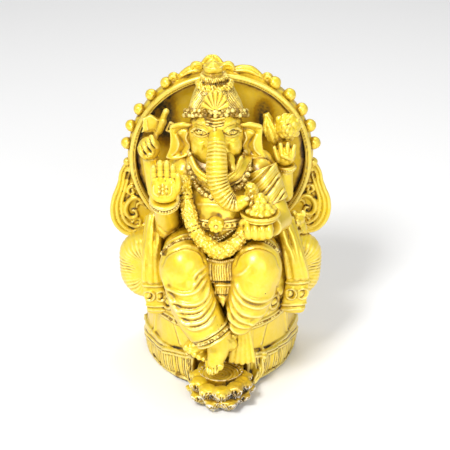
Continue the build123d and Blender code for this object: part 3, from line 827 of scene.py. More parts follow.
def make_halo():
    # Less painted shade on the halo than elsewhere, through a lower sunk.
    gold = gold_paint("gold_halo", wash=1.0, rub=0.8, sunk=0.45)
    back_y = corners("halo_plate")[1].y
    rim_y = corners("halo_rim")[0].y
    disc = Clay().node("halo_plate").skin(0.9, 3)
    away = np.hypot(disc.x - HALO.x, disc.z - HALO.z)
    front = clamp(-disc.out[:, 1])
    disc.push(front * 2.6 * (away / RIM_INNER) ** 4)
    back = clamp(disc.out[:, 1])
    disc.push(-0.9 * back * clamp(1 - away / (RIM_INNER - 6)) ** 0.5)
    for ring in (RIM_INNER - 5, RIM_INNER - 9):
        disc.push(0.5 * back * bell(away - ring, 0.9))
    disc.rough(0.14, 18, 8)
    piece("halo_plate", disc, gold)
    rim = Clay()
    deep = back_y - rim_y
    turn = Matrix.Translation((HALO.x, back_y, HALO.z)) @ Matrix.Rotation(math.radians(90), 4, "X")
    rim.lathe(
        [
            (RIM_INNER, 0), (RIM_OUTER - 0.6, 0), (RIM_OUTER + 1.4, 0.8), (RIM_OUTER + 1.4, deep - 7.5),
            (RIM_OUTER, deep - 5.5), (RIM_OUTER, deep - 1.2), (RIM_OUTER - 1.2, deep - 0.2),
            (RIM_INNER + 1.2, deep), (RIM_INNER + 0.1, deep - 1.0), (RIM_INNER, 0),
        ],
        turn, steps=120,
    )
    rim.skin(0.7, 2)
    away = np.hypot(rim.x - HALO.x, rim.z - HALO.z)
    front = clamp(-rim.out[:, 1])
    rim.push(-0.55 * bell(away - RIM_INNER - 1.5, 0.5) * front)
    rim.rough(0.12, 11, 9)
    piece("halo_rim", rim, gold)
    beads = Clay()
    seen = halo_bead_places()
    for i, spot in enumerate(seen):
        size = 4.9 if spot.x > 0 else 4.5
        beads.ball(spot, (size, size * 0.95, size * 0.97), turn=(0, 17 * i, 0), smooth=4)
        beads.ball(spot + Vector((0, 2.5, 0)), (size * 0.8, 3.4, size * 0.8), smooth=3)
    beads.skin(0.5, 2)
    for spot in seen:
        tip = spot + Vector((0.5, -4.0, 0.6))
        beads.dab(tip, 0.8, 0.35)
    beads.rough(0.12, 5, 2)
    piece("halo_beads", beads, gold)
    carved = gold_paint("gold_scroll", wash=1.6, rub=1.1)
    for side, name in ((-1, "right"), (1, "left")):
        wing(side, "wing_scroll_" + name, carved)
        crest_leaf(side, "crest_leaf_" + name, gold)
    crest(gold)


def halo_bead_places():
    """Centres of the rim's beads, spaced as the frame's own node has them."""
    low, high = corners("halo_beads")
    y = (low.y + high.y) / 2 - 0.8
    track = RIM_OUTER + 2.6
    spots = []
    for side in (-1, 1):
        for i in range(5):
            lean = math.radians(34 + i * 11.8) * side
            spots.append(Vector((math.sin(lean) * track, y, HALO.z + math.cos(lean) * track)))
    return spots


def spiral(centre, start, turns, radius, side, shrink=0.18, steps=26):
    """A volute in the halo's plane, winding in from its radius."""
    points = []
    for i in range(steps + 1):
        t = i / steps
        r = radius * (1 - t) + radius * shrink * t
        a = math.radians(start + side * 360 * turns * t)
        points.append(Vector((centre[0] + r * math.cos(a), centre[1], centre[2] + r * math.sin(a))))
    return points


def wing(side, name, gold):
    """A side scroll: three parallel ropes that swell outwards and curl into a volute with a wavy tendril."""
    low, high = corners(name)
    front = low.y + 3.0
    drop = 0.0 if side > 0 else -3.0

    def w(x, z, y=front):
        share = min(max((143.0 - z) / 40.0, 0.0), 1.0)
        return Vector((side * x, y, z + drop * share))

    def row(*pairs, y=front):
        return [w(x, z, y) for x, z in pairs]

    clay = Clay()
    clay.plate(
        row(
            (64.5, 143), (70, 139.5), (73.6, 134), (74.8, 127), (77, 120.4), (80, 113), (81.0, 105),
            (80.2, 97.5),
            (77.2, 91), (71.5, 86), (63, 84), (52, 86), (46, 95), (54, 108), (61, 122), (64.5, 134),
            y=high.y - 0.4,
        ),
        (0, -1, 0), 5.0,
    )
    outer = row(
        (69.5, 140), (73.0, 134), (74.2, 127), (76.4, 120.4), (79.3, 113), (80.3, 105), (79.4, 97.5),
        (76.3, 91.4),
        (71, 86.6), (63, 84.8), (53, 86.5),
    )
    second = row(
        (68.0, 138), (70.6, 132), (71.7, 125.5), (73.8, 119), (76.3, 112), (76.9, 104.6), (75.6, 97.6),
        (72.2, 92.0),
        (66.5, 88.4), (58, 88.5),
    )
    third = row(
        (66.6, 134), (68.6, 127), (71.0, 119.5), (73.0, 112), (73.4, 105), (72.1, 98.9), (68.9, 94.2),
        (63.6, 91.8),
        (56, 93),
    )
    clay.tube(outer, [0.9, 1.5, 1.9, 2.0, 2.0, 1.9, 1.6], sides=12)
    clay.tube(second, [0.8, 1.2, 1.6, 1.7, 1.7, 1.6, 1.2], sides=12)
    clay.tube(third, [0.8, 1.2, 1.4, 1.5, 1.5, 1.4, 1.0], sides=12)
    volute = row(
        (57.5, 112), (61.8, 115.0), (66.4, 113.8), (69.6, 109.8), (70.2, 104.8), (68.2, 100.6), (64.6, 99.6),
        (62.2, 102.0), (63.2, 105.0), (65.4, 105.4),
    )
    volute = [p + Vector((0, -0.9, 0)) for p in volute]
    clay.tube(volute, [1.4, 1.9, 2.1, 2.0, 1.8, 1.6, 1.4, 1.2, 1.0], sides=14)
    hook = row((54.5, 107), (58.0, 110.6), (61.2, 110.4), (62.4, 107.6))
    clay.tube(hook, [1.0, 1.4, 1.3, 1.0], sides=12)
    wave = row(
        (65.8, 95.6), (62.6, 98.4), (59.6, 97.0), (60.2, 93.8), (57.4, 92.0), (54.6, 94.2), (55.4, 97.8),
        (52.6, 99.4),
    )
    clay.tube(wave, [1.0, 1.2, 1.2, 1.1, 1.2, 1.1, 1.0, 0.7], sides=10)
    small = row(
        (61.8, 121.2), (64.6, 123.6), (67.6, 122.4), (68.4, 119.2), (66.2, 117.4), (64.2, 118.8),
        (65.2, 120.6),
    )
    clay.tube(small, [1.0, 1.3, 1.4, 1.3, 1.2, 1.1, 0.9], sides=10)
    clay.ball(w(67.6, 141.8), (3.6, 3.4, 3.4), smooth=3)
    clay.ball(w(66.6, 136.2), (2.4, 2.4, 2.2), smooth=3)
    clay.skin(0.5, 2)
    clay.rough(0.1, 7, 4 + side)
    piece(name, clay, gold)


def crest_leaf(side, name, gold):
    """A curled arm lying on the rim, thick beside the crest and ending in a small volute."""
    y = corners(name)[0].y + 2.2

    def on_rim(lean, above, forward=0.0):
        a = math.radians(lean) * side
        return Vector(
            (math.sin(a) * (RIM_OUTER + above), y - forward, HALO.z + math.cos(a) * (RIM_OUTER + above))
        )

    clay = Clay()
    clay.tube(
        [on_rim(8, 1.0), on_rim(13, 2.8), on_rim(18, 3.6), on_rim(23, 2.4), on_rim(26.0, 0.8)],
        [2.4, 3.0, 3.1, 2.5, 1.8], 1.15, (0, 0, 1),
    )
    clay.tube([on_rim(8, -1.4, 0.8), on_rim(16, -0.6, 0.8), on_rim(25, -1.4, 0.8)], [1.1, 1.3, 1.0], sides=12)
    middle_of_curl = on_rim(29.0, 2.4)
    curl = spiral(middle_of_curl + Vector((0, -1.6, 0)), 200 if side > 0 else -20, 1.35, 3.7, side)
    clay.tube(curl, [1.5, 1.5, 1.4, 1.2, 1.0], sides=14, smooth=False)
    clay.ball(middle_of_curl + Vector((0, 1.2, 0)), (4.3, 3.0, 4.3), smooth=3)
    clay.skin(0.5, 2)
    groove = [on_rim(9, 2.6), on_rim(14, 4.4), on_rim(19, 4.8), on_rim(23, 3.6)]
    clay.line(groove, 0.7, -0.8, BACKWARDS)
    clay.rough(0.1, 5, 6)
    piece(name, clay, gold)


def crest(gold):
    """The boss at the top of the halo: a plump lobe between two volutes that curl outwards and under."""
    low, high = corners("crest_boss")
    y = low.y + 2.6
    x = (low.x + high.x) / 2 - 0.8
    z = low.z

    def c(dx, dz, dy=0.0):
        return Vector((x + dx, y + dy, z + dz))

    clay = Clay()
    clay.ball(c(0, 5.0, 1.8), (8.2, 4.6, 9.0), smooth=4)
    clay.ball(c(0, 0, 3), (13.0, 4.0, 5.0), smooth=4)
    for side in (-1, 1):
        hub = c(side * 11.0, 3.8, 0.0)
        clay.ball(hub + Vector((0, 2.2, 0)), (5.2, 3.0, 5.2), smooth=4)
        curl = spiral(hub + Vector((0, -0.9, 0)), 160 if side > 0 else 20, 1.45, 4.6, -side)
        clay.tube(curl, [1.8, 1.8, 1.7, 1.4, 1.1], sides=16, smooth=False)
    clay.skin(0.5, 2)
    for side in (-1, 1):
        clay.line(
            [c(side * 1.5, 13), c(side * 5.0, 9.6), c(side * 6.2, 4), c(side * 5.2, -2)], 0.8, -1.1,
            BACKWARDS,
        )
    clay.rough(0.16, 6, 12)
    piece("crest_boss", clay, gold)


# ---------------------------------------------------------------- cushions and hanging scarves


def make_cushions():
    gold = gold_paint("gold_cushion")
    for side, name in ((-1, "bolster_right"), (1, "bolster_left")):
        low, high = corners(name)
        clay = Clay().node(name).skin(0.7, 8)
        centre = Vector((side * 50.5, low.y + 3, (low.z + high.z) / 2 - 1.0))
        away = clay.co - np.array(centre)
        turn = np.arctan2(away[:, 2], away[:, 0] * side)
        swell = 1 + 0.085 * np.sin(2 * turn) ** 2
        clay.co[:, 0] = centre.x + away[:, 0] * swell
        clay.co[:, 2] = centre.z + away[:, 2] * swell * np.where(away[:, 2] > 0, 1.05, 1.0)
        clay.face_out()
        away = clay.co - np.array(centre)
        far = np.hypot(away[:, 0], away[:, 2])
        end = clamp(-clay.out @ np.array((-side * 0.42, 0.9, 0.0)) / 0.4)
        clay.push(-1.8 * bell(far, 9) * end)
        rays = turn * 46 / math.tau + 0.35 * np.sin(far * 0.3 + 3 * turn)
        depth = 0.7 + 0.3 * np.sin(turn * 7 + 1.0)
        clay.ripple(rays, 0.5, end * depth * clamp((far - 6) / 12) * clamp((29 - far) / 6), 0.9)
        sides = (1 - end) * clamp(1 - np.abs(clay.out[:, 1]) / 0.85)
        clay.ripple(turn * 46 / math.tau + 0.05 * clay.y, 0.5, sides * depth, 1.0)
        clay.rough(0.3, 9, 20 + side)
        piece(name, clay, gold)
        scarf(side, gold)


def scarf(side, gold):
    """A long scarf that falls from the forearm over the throne's edge in broad soft folds."""
    name = "scarf_left" if side > 0 else "scarf_right"
    if side > 0:
        path = [
            at(43, -10, 42), at(47.5, -14, 28), at(52.0, -18.5, 14), at(55, -18, 0), at(54.5, -16.5, -14),
            at(52, -15.5, -30),
        ]
        width = 8.0
    else:
        path = [
            at(-46, -9, 44), at(-47.5, -16, 30), at(-48.5, -22.5, 15), at(-48.5, -23, 0), at(-47, -20, -14),
            at(-45, -17, -30),
        ]
        width = 7.0
    clay = Clay().node(name)
    clay.tube(path, [width * 0.7, width * 0.9, width, width, width * 1.12, width * 1.12], 0.30, (1, 0, 0))
    hem = -5.0
    hang = [p for p in path if p.z > SEAT_TOP + hem - 2]
    for share, size, sway in ((-0.80, 1.7, 0.6), (-0.18, 2.7, -0.9), (0.52, 2.3, 0.8), (0.92, 1.4, 0.2)):
        rope = [
            p + Vector((share * width * (0.66 + 0.34 * i / len(hang)) + sway * math.sin(i * 1.9), -1.9, 0))
            for i, p in enumerate(hang)
        ]
        clay.tube(rope, [size * 0.7, size, size * 1.1, size * 1.25], 1.0, (1, 0, 0), sides=14)
    clay.skin(0.5, 4)
    z = clay.z - SEAT_TOP
    seen = clay.facing(LOOK)
    low_part = clamp((hem - z) / 1.5)
    clay.bands(z, ((hem - 0.2, 1.3), (hem - 2.6, -0.6), (-24.0, 1.1), (-26.2, -0.6), (-28.2, 0.8)), 0.9, seen)
    centre = path[4]
    for dx, dz, moon in ((-3.8, 0.4, 1.0), (4.6, 0.2, 1.2)):
        spot = Vector((centre.x + dx, 0, SEAT_TOP - 15 + dz))
        away = np.hypot(clay.x - spot.x, (clay.z - spot.z) * 0.8)
        off = np.hypot(clay.x - spot.x + moon, (clay.z - spot.z) * 0.8)
        clay.push(1.3 * bell(away - 3.5, 0.75) * seen * low_part)
        clay.push(1.2 * bell(off, 1.7) * seen * low_part)
        clay.push(-0.8 * bell(off - 2.5, 0.6) * seen * low_part)
    clay.rough(0.12, 7, 31)
    piece(name, clay, gold)


# ---------------------------------------------------------------- body


def make_body():
    gold = gold_paint("gold_figure")
    clay = Clay().node("torso").skin(0.8, 4)
    clay.line([at(-14, -34, 33), at(-2, -38, 29), at(12, -34, 33)], 0.8, -0.8, LOOK)
    clay.dab(at(-2, -38, 44), 1.6, -1.6, LOOK)
    clay.line([at(-19, -30, 62), at(-8, -36, 65), at(6, -36, 64), at(15, -30, 60)], 1.2, 0.5, LOOK)
    clay.rough(0.12, 14, 40)
    piece("torso", clay, gold)
    ornaments(gold, clay)


def ornaments(gold, chest):
    """Collar, necklace, belly band, rosette, belt and garland."""
    clay = Clay().node("collar").skin(0.55, 2)
    clay.push(0.9 * clamp(-clay.out[:, 1] * 2))
    clay.face_out()
    edge = [
        at(-21.6, -12, 82), at(-17.6, -20, 74.5), at(-12.5, -24, 68.8), at(-3, -26, 66.0), at(7.3, -23, 69.5),
        at(15.0, -20, 73), at(20.4, -12, 81),
    ]
    for lift, width, height in ((2.6, 0.45, -0.7), (3.8, 0.6, 0.6), (5.2, 0.4, -0.4)):
        clay.line([p + Vector((0, 0, lift)) for p in edge], width, height, LOOK)
    row = Clay()
    spots = clay.rest(flowing(edge, 3), LOOK, 0.1, 2.0)
    for p in spots:
        row.ball(p + Vector((0, 0.2, -0.8)), (2.0, 1.3, 2.0), smooth=2)
        row.ball(p + Vector((0, -0.9, -1.0)), (0.8, 0.7, 0.8), smooth=2)
    for ends in (
        [at(-22, -8, 92), at(-18, -15, 87), at(-12, -20, 82)],
        [at(7, -20, 83), at(13, -15, 87), at(17, -8, 92)],
    ):
        for p in clay.rest(flowing(ends, 4), LOOK, 0.2, 2.4):
            row.ball(p, (1.7, 1.2, 1.9), smooth=2)
    piece("collar", clay, gold, row)
    clay = Clay()
    string = flowing(
        [at(-20, -14, 89), at(-15, -20, 82), at(-3, -24, 77), at(9, -20, 82), at(14, -14, 89)], 8,
    )
    clay.tube(string[::4], [1.9, 1.9], 1.3)
    for p in string:
        clay.ball(p + Vector((0, -1.8, 1.6)), 1.55, smooth=2)
        clay.ball(p + Vector((0, -2.0, -1.5)), 1.55, smooth=2)
    clay.skin(0.4, 1)
    piece("bead_necklace", clay, gold)
    clay = Clay().node("belly_band").skin(0.55, 2)
    z = clay.z - SEAT_TOP
    for height in (47.2, 51.8):
        clay.push(-0.6 * bell(z - height, 0.4) * clamp(-clay.out[:, 1] * 2))
    angle = np.arctan2(clay.x + 1, -(clay.y - HIP_Y + 11))
    clay.push(0.8 * np.cos(angle * 46) * bell(z - 49.5, 1.2) * clamp(-clay.out[:, 1] * 2))
    row = Clay()
    for drop, share in ((4.2, 1.0), (6.4, 0.86)):
        hung = [
            at(-16 * share, -30, 47 - drop * 0.3), at(-3, -37, 44 - drop),
            at(11 * share, -32, 46 - drop * 0.3),
        ]
        for p in chest.rest(flowing(hung, 9), LOOK, 0.0, 1.2):
            row.ball(p, 0.85, smooth=1)
    piece("belly_band", clay, gold, row)
    rosette(gold)
    clay = Clay().node("waist_belt")
    for p in flowing([at(-17, -28, 34), at(-2, -38.5, 27.5), at(13, -28, 34)], 9):
        clay.ball(p + Vector((0, -1.8, 0.6)), (1.6, 1.5, 1.6), smooth=2)
    clay.skin(0.5, 1)
    piece("waist_belt", clay, gold)
    garland(gold)


def rosette(gold):
    """Flower clasp of eight petals round a beaded eye."""
    spot = middle("belly_rosette") + Vector((0, -1.0, 0))
    clay = Clay().node("belly_rosette")
    for i in range(8):
        a = i * math.tau / 8
        clay.ball(spot + Vector((math.cos(a) * 3.7, -0.6, math.sin(a) * 3.7)), (1.75, 1.5, 1.75), smooth=3)
    clay.skin(0.35, 1)
    clay.dab(spot, 1.7, -0.7, BACKWARDS)
    middle_bead = Clay().ball(spot + Vector((0, -2.4, 0)), (1.3, 1.1, 1.3), smooth=3)
    piece("belly_rosette", clay, gold, middle_bead)


def garland(gold):
    """A thick flower garland hanging in a U, with smooth bands where it is bound."""
    strand = [
        at(-25, -22, 76), at(-22.5, -30, 60), at(-16, -38, 44), at(-3, -43.5, 33.5),
        at(10, -41, 37), at(17.5, -35, 48), at(20.5, -27.5, 62), at(21, -24, 72),
    ]
    clay = Clay().node("garland")
    path = flowing(strand, 9)
    clay.tube(strand, [4.6, 5.0, 5.4, 5.9, 5.4, 5.0, 4.6, 4.4])
    clay.skin(0.45, 2)
    along, length = clay.gap(path)[1:]
    bound = np.zeros(len(along))
    for share, half in ((0.10, 1.2), (0.30, 1.0), (0.72, 2.6)):
        bound = np.maximum(bound, clamp((half - np.abs(along - share * length)) / 0.6 + 0.5))
    clay.stud(700, 1.0, 1.6, 1.0, bound, 7)
    clay.face_out()
    clay.stud(900, 0.5, 0.8, 0.35, bound, 8)
    clay.face_out()
    for share in (0.085, 0.115, 0.287, 0.313, 0.68, 0.76):
        clay.push(-0.5 * bell(along - share * length, 0.6))
    piece("garland", clay, gold)


# ---------------------------------------------------------------- legs and feet


def make_legs():
    gold = gold_paint("gold_figure")
    dome = [
        at(-40.6, -45, 21), at(-37.0, -45, 30.4), at(-24.8, -45, 36.5), at(-13.8, -45, 32.5),
        at(-9.4, -45, 22),
    ]
    folds = [
        [
            at(-41.0, -53, 20), at(-36.5, -53, 10.0), at(-26, -53, 4.4), at(-15.9, -51, 6.4),
            at(-9.3, -49, 15.6),
        ],
        [
            at(-40.2, -53, 13.7), at(-31.6, -55, 0.7), at(-19.5, -55, -2.5), at(-11.2, -53, 1.1),
            at(-7.6, -49, 11.4),
        ],
        [
            at(-38.3, -51, 5.5), at(-28.5, -55, -6.0), at(-17.0, -57, -6.2), at(-9.8, -55, -0.6),
            at(-6.4, -51, 7.4),
        ],
        [
            at(-36.3, -51, 0.5), at(-26.1, -55, -10.5), at(-15.8, -57, -10.4), at(-8.6, -55, -3.4),
            at(-5.0, -51, 4.8),
        ],
        [
            at(-33.0, -51, -7.0), at(-23.5, -57, -15.4), at(-12.8, -59, -13.6), at(-6.0, -57, -5.6),
            at(-3.4, -53, 2.1),
        ],
        [at(-29.0, -53, -14.0), at(-19.5, -57, -20.4), at(-9.0, -59, -16.0), at(-3.5, -57, -8.0)],
    ]
    creases = [
        [at(-8.7, -55, 28.5), at(-13.7, -57, 25.4), at(-17.4, -57, 21.3), at(-19.3, -57, 15.1)],
        [at(-8.3, -55, 23.3), at(-12.9, -57, 20.8), at(-16.6, -57, 15.6), at(-20.3, -57, 9.8)],
    ]
    thigh(-1, "leg_right", dome, folds, creases, (1.1, 1.1), gold)
    dome = [at(9.0, -45, 21), at(13, -45, 31), at(24.8, -45, 36.5), at(37.0, -45, 31.5), at(41, -45, 20)]
    folds = [
        [at(9.2, -51, 15.2), at(15.6, -55, 4.4), at(26.7, -57, 0.8), at(36.8, -55, 4.8), at(41.6, -49, 14.5)],
        [at(8.4, -49, 9.8), at(14.0, -53, -1.0), at(25.6, -55, -5.2), at(35.6, -53, -1.4), at(40.0, -50, 5)],
        [at(7.4, -49, 5.2), at(12.6, -53, -8.4), at(24, -55, -12.0), at(33.6, -53, -8.0), at(37.5, -50, -3)],
        [
            at(6.2, -49, 0.2), at(10.6, -51, -14.2), at(20.8, -53, -18.4), at(30.4, -51, -14.2),
            at(33.5, -50, -10),
        ],
        [at(4.8, -49, -5.7), at(8.8, -49, -19.9), at(17.0, -49, -24.0), at(25.0, -47, -21.6)],
        [at(4.4, -49, -11.7), at(7.8, -49, -25.0), at(14.8, -49, -29.0), at(21.4, -47, -26.6)],
    ]
    creases = [[at(9.6, -53, 18.1), at(15.4, -57, 23.4), at(20, -59, 29.6)]]
    thigh(1, "leg_left", dome, folds, creases, (1.3, 1.0), gold)
    feet(gold)
    waist_cloth(gold)


def thigh(side, name, dome, folds, creases, crease_size, gold):
    """One leg in its cloth: a seam over the thigh, folds that hang across and creases at its inner side."""
    clay = Clay().node(name).skin(0.65, 9).squeeze(25 * side, 0.93)
    clay.face_out()
    clay.line(dome, 0.9, -1.1, LOOK, fade=0.08)
    for fold in folds:
        clay.fold(fold, 1.15, 1.35, LOOK, 0.10)
    for crease in creases:
        clay.fold(crease, *crease_size, LOOK, 0.35)
    clay.face_out()
    clay.rough(0.10, 15, 50 if side < 0 else 51)
    piece(name, clay, gold, thigh_hem(clay, side))


def thigh_hem(clay, side):
    """Embroidered hem along the top of a thigh: a cord each side of a row of small beads."""
    if side < 0:
        arc = [at(-41.0, -27, 22.4), at(-34, -33, 32.8), at(-22.6, -36, 39.2), at(-11.0, -38, 35.6)]
    else:
        arc = [at(9.6, -38, 35.8), at(20.6, -36, 39.4), at(33, -33, 33.8), at(40.4, -27, 24.0)]
    for lift in (2.6, -2.2):
        clay.line([p + Vector((0, 0, lift)) for p in arc], 0.6, 0.9, LOOK)
    clay.face_out()
    row = Clay()
    for p in clay.rest(flowing(arc, 11), LOOK, 0.1, 0.7):
        row.ball(p, 1.1, smooth=2)
    return row


def feet(gold):
    clay = Clay()
    axis = Vector((2.8, -0.8, -4.8)).normalized()
    start = at(-8.3, -53.6, -22.2)
    clay.tube(
        [start, start + axis * 4, start + axis * 8.4], [14.6, 14.2, 13.0], smooth=False, round_ends=False,
        sides=44,
    )
    clay.skin(0.5, 2)
    level = (clay.co - np.array(start)) @ np.array(axis)
    clay.bands(level, ((1.0, 0.9), (2.6, -0.8), (6.4, -0.8), (7.8, 0.9)), 0.6)
    row = Clay()
    centre = start + axis * 4.5
    u = axis.cross(BACKWARDS).normalized()
    v = axis.cross(u).normalized()
    for i in range(38):
        a = i * math.tau / 38
        row.ball(centre + (u * math.cos(a) + v * math.sin(a)) * 14.0, (1.15, 1.15, 1.05), smooth=2)
    piece("anklet", clay, gold, row)
    clay = Clay()
    clay.tube(
        [at(-1.5, -52.5, -26), at(-1.2, -54.0, -34), at(-2.2, -57.0, -41), at(-4.0, -60.2, -47.5)],
        [9.4, 8.6, 7.4, 5.4], 0.94, (1, 0, 0), sides=28,
    )
    clay.ball(at(6.5, -51.0, -37.0), (5.6, 5.6, 5.4))
    clay.ball(at(2.5, -52.0, -35.0), (8.2, 7.0, 7.5))
    clay.ball(at(8.2, -49.5, -31.0), (3.6, 4.2, 4.0))
    for x, y, z, r in (
        (-0.6, -62.8, -48.6, 3.1), (-3.5, -64.0, -51.2, 2.35), (-5.7, -64.0, -52.8, 2.05),
        (-7.5, -63.2, -53.5, 1.85), (-8.9, -61.6, -52.8, 1.65),
    ):
        clay.tube([at(x - 0.6, y + 4.5, z + 4.4), at(x, y, z)], [r * 0.95, r], smooth=False)
    clay.skin(0.45, 3)
    for x, z in ((-2.4, -50.4), (-4.8, -52.4), (-6.8, -53.6), (-8.4, -53.6)):
        clay.line([at(x - 0.2, -60, z + 3.6), at(x, -64, z - 1)], 0.42, -0.7, BACKWARDS, smooth=False)
    clay.dab(at(-0.3, -65.5, -48.4), (1.6, 2.0, 1.7), -0.45)
    clay.line([at(-2.3, -65, -47.6), at(-0.4, -65.5, -46.2), at(1.5, -65, -47.4)], 0.35, 0.35, BACKWARDS)
    clay.line([at(4, -57, -28), at(8, -55, -33), at(8.5, -54, -38)], 0.8, -0.5, LOOK, fade=0.3)
    clay.rough(0.10, 8, 60)
    piece("foot_right", clay, gold)
    clay = Clay()
    clay.tube(
        [at(4, -42, -33), at(-6, -43, -38), at(-14, -44.5, -41.5), at(-20, -45.5, -43)],
        [7.5, 7.0, 5.6, 4.6], 0.9,
    )
    for x, y, z, r in (
        (-24.4, -47.2, -42.6, 2.6), (-21.6, -49.0, -44.6, 2.3), (-18.4, -50.2, -46.6, 2.3),
        (-15.0, -51.2, -48.4, 2.2), (-11.8, -51.6, -49.6, 2.0),
    ):
        clay.tube([at(x + 3.0, y + 4.0, z + 2.8), at(x, y, z)], [r * 0.9, r], smooth=False)
    clay.skin(0.45, 2)
    clay.rough(0.10, 8, 61)
    piece("foot_left", clay, gold)


def waist_cloth(gold):
    """Pleated panel, its knot and tail, and the pleated cloth beside the foot."""
    clay = Clay().node("waist_sash")
    clay.box(at(0.4, -43.4, 17.6), (18.6, 5, 17), (-16, 0, 0))
    clay.box(at(1.5, -47.2, 5.4), (11.5, 5, 8.5), (-14, 0, 0))
    clay.tube([at(-1.5, -48, 1.5), at(1.5, -50, -2.5), at(4.5, -48, 1.5)], [2.0, 2.6, 2.0])
    clay.skin(0.5, 3)
    front = clay.facing(LOOK)
    x = clay.x
    z = clay.z - SEAT_TOP
    lean = 0.3 * np.sin(z * 0.4)
    clay.ripple((x + lean) / 1.75, 0.5, front * clamp((24.5 - z) / 2) * clamp((z - 9.5) / 2), 1.3)
    clay.ripple((x + lean) / 1.75, 0.4, front * clamp((8.4 - z) / 1.5) * clamp((z - 1) / 2), 1.3)
    clay.line([at(-9.4, -43, 25.4), at(9.6, -43, 25.4)], 1.1, 1.4, LOOK)
    clay.line([at(-9.4, -45, 9.4), at(9.6, -45, 9.4)], 0.8, -1.6, LOOK)
    clay.line([at(-4, -47, 8.2), at(7.4, -47, 8.2)], 0.9, 1.0, LOOK)
    clay.line([at(-4, -48, 0.6), at(7, -48, 0.6)], 0.8, -1.3, LOOK)
    clay.rough(0.08, 6, 63)
    row = Clay()
    line = flowing([at(-9.0, -44.6, 27.0), at(0, -46.4, 26.0), at(9.4, -44.6, 27.0)], 7)
    for p in clay.rest(line, LOOK, 0.2):
        row.ball(p, 1.15, smooth=2)
    piece("waist_sash", clay, gold, row)
    clay = Clay().node("cloth_fan")
    for i in range(5):
        top = at(11.0 + i * 2.2, -46.5, -27.5)
        foot = at(7.6 + i * 3.9, -49.5, -53.5 + 0.8 * abs(i - 2))
        clay.tube([top, foot], [1.3, 2.1], smooth=False, sides=12)
    clay.skin(0.45, 2)
    clay.rough(0.10, 8, 70)
    piece("cloth_fan", clay, gold)


# ---------------------------------------------------------------- head


def make_head():
    gold = gold_paint("gold_figure")
    clay = Clay().node("head")
    clay.ball(at(-13, -7.5, 97), (7.5, 8.5, 10.5))
    clay.ball(at(7.5, -7.5, 97), (7.5, 8.5, 10.5))
    clay.ball(at(-3, -8.5, 113.5), (14, 9.5, 10))
    clay.skin(0.4, 7)
    face = BACKWARDS
    for s, cx in ((-1, -13.6), (1, 7.8)):
        def e(dx, dz):
            return at(cx + dx * s, -16, 108.4 + dz)

        clay.dab(e(0, -0.2), (6.4, 9, 4.4), -1.2, face)
        clay.face_out()
        clay.dab(e(0.2, 0.0), (4.0, 9, 2.7), 2.0, face)
        clay.face_out()
        upper = [e(-5.6, -0.5), e(-3.3, 2.2), e(0.2, 3.1), e(3.7, 1.4), e(6.2, -1.5)]
        lower = [e(-5.6, -0.5), e(-1.8, -2.6), e(2.4, -3.1), e(6.2, -1.5)]
        lid = [e(-5.6, 2.8), e(-2.8, 5.0), e(1.2, 5.3), e(5.0, 3.2), e(7.4, 0.0)]
        bag = [e(-4.8, -4.0), e(-1.2, -5.6), e(3.2, -5.8), e(6.6, -3.8)]
        clay.line(upper, 0.6, 1.1, face)
        clay.line(lower, 0.5, 0.75, face)
        clay.line([p + Vector((0, 0, -1.1)) for p in upper[1:]], 0.45, -1.0, face)
        clay.line([p + Vector((0, 0, 0.95)) for p in lower], 0.4, -0.55, face)
        clay.line(lid, 0.55, -0.7, face, fade=0.15)
        clay.line(bag, 0.6, -0.45, face, fade=0.3)
        clay.face_out()
        iris = [e(0.1 + 1.55 * math.cos(a), -0.1 + 1.55 * math.sin(a)) for a in np.linspace(0, math.tau, 13)]
        clay.line(iris, 0.38, -0.75, face, smooth=False)
        clay.dab(e(0.1, -0.1), 0.6, -0.6, face)
        clay.line([e(-4.6, 6.8), e(0.5, 8.2), e(6.6, 5.2)], 1.2, 0.7, face, fade=0.3)
        clay.line([e(-4.0, -5.6), e(0, -8.6), e(3.6, -12.6)], 2.2, 0.5, face, fade=0.3)
        clay.face_out()
    for height, half in ((119.2, 6.6), (117.2, 6.4), (115.2, 5.6)):
        bar = [at(-4 - half, -18, height + 0.7), at(-4, -18, height), at(-4 + half, -18, height + 0.7)]
        clay.line(bar, 0.55, 1.2, face)
        clay.line([p + Vector((0, 0, -1.0)) for p in bar], 0.35, -0.5, face)
    clay.line([at(-4, -18, 115), at(-4, -18, 112.4)], 0.9, 1.2, face, smooth=False)
    clay.dab(at(-4, -18, 112.2), 1.2, 1.0, face)
    clay.rough(0.06, 10, 80)
    piece("head", clay, gold)
    trunk(gold)
    tusk = Clay()
    tusk.tube([at(5.4, -15, 91), at(8.4, -22.5, 86.0)], [3.2, 2.4], smooth=False)
    tusk.tube([at(5.2, -14, 91.6), at(6.8, -18.2, 88.8)], [3.9, 3.6], smooth=False)
    tusk.skin(0.45, 2)
    piece("tusk_left", tusk, gold)
    for side, name in ((-1, "ear_right"), (1, "ear_left")):
        ear(side, name, gold)


